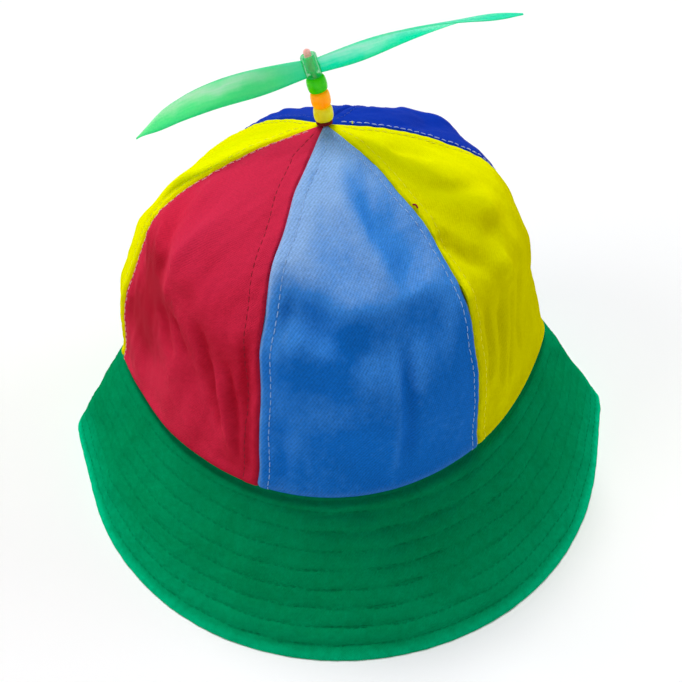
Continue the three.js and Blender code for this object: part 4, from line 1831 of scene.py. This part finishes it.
def crown_panels() -> list[CrownPanel]:
    """Lists the six panels of the crown, round from the front one to the right."""
    sky_folds = (
        Fold(((9, 0.9), (13.5, 0.82), (16, 0.74), (18, 0.63)), 5.5, 2.2),
        Fold(((19, 0.9), (22.5, 0.82), (25.5, 0.74), (27, 0.67)), 8.5, -3.2),
        Fold(
            ((-21, 0.77), (-12, 0.78), (-4, 0.73), (5, 0.67), (17, 0.65), (26, 0.67), (35, 0.64)),
            8.0, 2.0, 0.5,
        ),
        Fold(((4, 0.98), (-9, 0.88), (-14, 0.76), (-18, 0.7)), 11.0, 0.3, 10.0),
        Fold(((-15, 0.67), (-6, 0.65), (2, 0.59), (9, 0.55)), 8.5, -2.4, 1.3),
        Fold(((20, 0.58), (27, 0.57), (33, 0.55)), 9.0, -2.0),
        Fold(((-14, 0.58), (-4, 0.53), (8, 0.47)), 15.0, -0.35, 11.0),
        Fold(((-11, 0.6), (-4, 0.56), (2, 0.54)), 5.0, 0.7, 0.8),
        Fold(((16, 0.54), (14.5, 0.4), (13.5, 0.2), (13.5, 0.01)), 1.9, 1.5),
        Fold(((19.5, 0.53), (17.6, 0.36), (16.6, 0.08)), 2.6, -2.0),
        Fold(((-13.5, 0.3), (-14.5, 0.03)), 3.2, -1.4),
    )
    red_folds = (
        Fold(((-38.5, 0.48), (-36, 0.32), (-33, 0.17)), 1.9, -1.8),
        Fold(((-30.5, 0.45), (-28, 0.28), (-26.5, 0.1)), 1.7, -1.9),
        Fold(((-34.5, 0.42), (-31, 0.25), (-29, 0.14)), 2.0, 1.8),
        Fold(((-51.5, 0.51), (-46, 0.38)), 3.0, -2.2),
        Fold(((-40, 0.54), (-37.5, 0.46)), 2.6, -1.2),
        Fold(((-43, 0.52), (-41, 0.36), (-38, 0.22)), 2.8, 1.1),
        Fold(((-58, 0.52), (-52, 0.34)), 3.4, -1.9),
        Fold(((-46, 0.84), (-52, 0.72), (-54.5, 0.56)), 4.0, 1.5),
        Fold(((-66, 0.8), (-60, 0.7), (-60, 0.6)), 5.0, -1.6),
        Fold(((-36, 0.78), (-42, 0.68), (-44, 0.6)), 5.0, -1.6),
        Fold(((-24, 0.55), (-24, 0.06)), 2.2, -1.6),
        Fold(((-72, 0.86), (-66, 0.56), (-74, 0.2)), 15.0, -0.5, 15.0),
    )
    yellow_folds = (
        Fold(((70, 0.94), (76, 0.92), (80, 0.88)), 4.5, -2.0),
        Fold(((56, 0.86), (66, 0.82), (78, 0.78)), 4.6, -2.4),
        Fold(((52, 0.82), (62, 0.77), (74, 0.72)), 4.6, 1.4),
        Fold(((60, 0.72), (66, 0.68)), 5.0, -1.3),
        Fold(((42, 0.76), (47, 0.69), (53, 0.62)), 4.4, -2.5),
        Fold(((57, 0.64), (60, 0.56)), 4.6, 2.4),
        Fold(((41, 0.63), (41, 0.57)), 3.4, 1.8),
        Fold(((47, 0.54), (45.5, 0.38), (44, 0.24)), 1.9, -2.0),
        Fold(((53.5, 0.5), (51, 0.33), (49.5, 0.18)), 1.9, -2.0),
        Fold(((60, 0.5), (57, 0.32), (54, 0.16)), 2.1, -2.0),
        Fold(((68, 0.5), (65, 0.34), (62, 0.2)), 2.4, -1.6),
    )
    back_folds = (
        Fold(((190, 0.75), (196, 0.6), (199, 0.4)), 4.5, -2.2),
        Fold(((170, 0.5), (168, 0.2)), 2.6, -1.7),
        Fold(((182, 0.42), (181, 0.12)), 2.2, -1.5),
        Fold(((176, 0.62), (184, 0.56), (188, 0.48)), 3.6, 1.4),
        Fold(((204, 0.5), (203, 0.22)), 2.4, -1.4),
        Fold(((150, 0.84), (158, 0.85), (168, 0.86)), 7.0, -1.8),
        Fold(((194, 0.86), (204, 0.857), (214, 0.84)), 7.0, 1.5),
    )
    right_folds = (
        Fold(((112, 0.9), (126, 0.84), (140, 0.8)), 5.0, -1.6),
        Fold(((110, 0.5), (112, 0.25)), 2.4, -1.6),
        Fold(((130, 0.5), (128, 0.2)), 2.8, -1.7),
        Fold(((140, 0.55), (138, 0.25)), 2.4, -1.3),
        Fold(((118, 0.66), (128, 0.62), (136, 0.64)), 4.2, -1.6),
        Fold(((150, 0.84), (158, 0.85), (168, 0.86)), 7.0, -1.8),
        Fold(((126, 0.76), (138, 0.8), (146, 0.83)), 8.0, 2.3),
    )
    left_folds = (
        Fold(((-118, 0.74), (-109, 0.63), (-108, 0.5)), 7.0, -3.0),
        Fold(((-106, 0.48), (-101, 0.53), (-96, 0.56)), 6.0, 1.4),
        Fold(((-92, 0.45), (-95, 0.2)), 2.4, -1.6),
        Fold(((-130, 0.45), (-131, 0.15)), 2.6, -1.5),
        Fold(((-118, 0.42), (-119, 0.12)), 2.2, -1.4),
    )
    sky_rows = (
        Topstitch(Side.LEFT, 4.8, PALE_BLUE_THREAD, 0.3, 0.1),
        Topstitch(Side.RIGHT, 3.5, PALE_BLUE_THREAD, 0.3, 0.14),
    )
    red_rows = (
        Topstitch(Side.LEFT, 2.0, PINK_THREAD, 0.1, 0.12, 0.2),
        Topstitch(Side.RIGHT, 6.5, DARK_RED_THREAD),
    )
    right_rows = (
        Topstitch(Side.LEFT, 2.2, WHITE_THREAD, 0.2, 0.12, 0.24),
        Topstitch(Side.RIGHT, 4.0, ROYAL_THREAD),
    )
    return [
        CrownPanel(
            "panel_sky_blue", 0, "crown_panel_sky_blue", "twill_sky_blue", SKY_BLUE,
            sky_rows, sky_folds,
        ),
        CrownPanel(
            "panel_yellow_right", 1, "crown_panel_yellow_right", "twill_yellow", YELLOW,
            on_both_sides(4.0, YELLOW_THREAD), yellow_folds,
        ),
        CrownPanel(
            "panel_royal_blue_right", 2, "crown_panel_royal_blue_right", "twill_royal_blue",
            ROYAL_BLUE, right_rows, right_folds,
        ),
        CrownPanel(
            "panel_royal_blue_back", 3, "crown_panel_royal_blue_back", "twill_royal_blue",
            ROYAL_BLUE, on_both_sides(4.0, ROYAL_THREAD), back_folds,
        ),
        CrownPanel(
            "panel_yellow_left", 4, "crown_panel_yellow_left", "twill_yellow", YELLOW,
            on_both_sides(4.0, YELLOW_THREAD), left_folds,
        ),
        CrownPanel("panel_red", 5, "crown_panel_red", "twill_red", RED, red_rows, red_folds),
    ]


def bead_stack() -> list[Bead]:
    """Lists the beads from the crown up."""
    finishes = (
        # The last number is the painted glow.
        BeadFinish("bead_yellow", (236, 226, 8), (246, 240, 50), 0.08),
        BeadFinish("bead_orange", (255, 152, 0), (255, 172, 4), 0.36),
        BeadFinish("bead_green", (52, 220, 0), (96, 240, 10)),
    )
    return [
        Bead(f"{finish.name}_moulded", number, finish.name, finish)
        for number, finish in enumerate(finishes)
    ]


def loose_threads() -> list[LooseThread]:
    """Lists the ends of thread that stand off the crown."""
    return [
        LooseThread(
            "thread_end_red", "twill_red", DARK_RED_THREAD, 41.3, 0.838, (1.1, -1.7), 0.6, 0.15, 0.34
        ),
        LooseThread(
            "thread_end_yellow", "twill_yellow", YELLOW_THREAD, 103.0, 0.977, (1.2, 0.5), 0.5, 0.3
        ),
    ]


def main() -> None:
    """Builds the camera, the studio and the hat."""
    logging.basicConfig(level=logging.INFO, format="%(name)s: %(message)s")
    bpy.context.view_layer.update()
    PhotoCamera().build()
    Studio().build()
    for panel in crown_panels():
        panel.build()
    for thread in loose_threads():
        thread.build()
    Brim(GREEN, GREEN_THREAD).build()
    for bead in bead_stack():
        bead.build()
    Cord(CORD_FINISH, MAROON_THREAD).build()
    Propeller(BLADE_PLASTIC, HUB_PLASTIC).build()


if __name__ == "__main__":
    main()
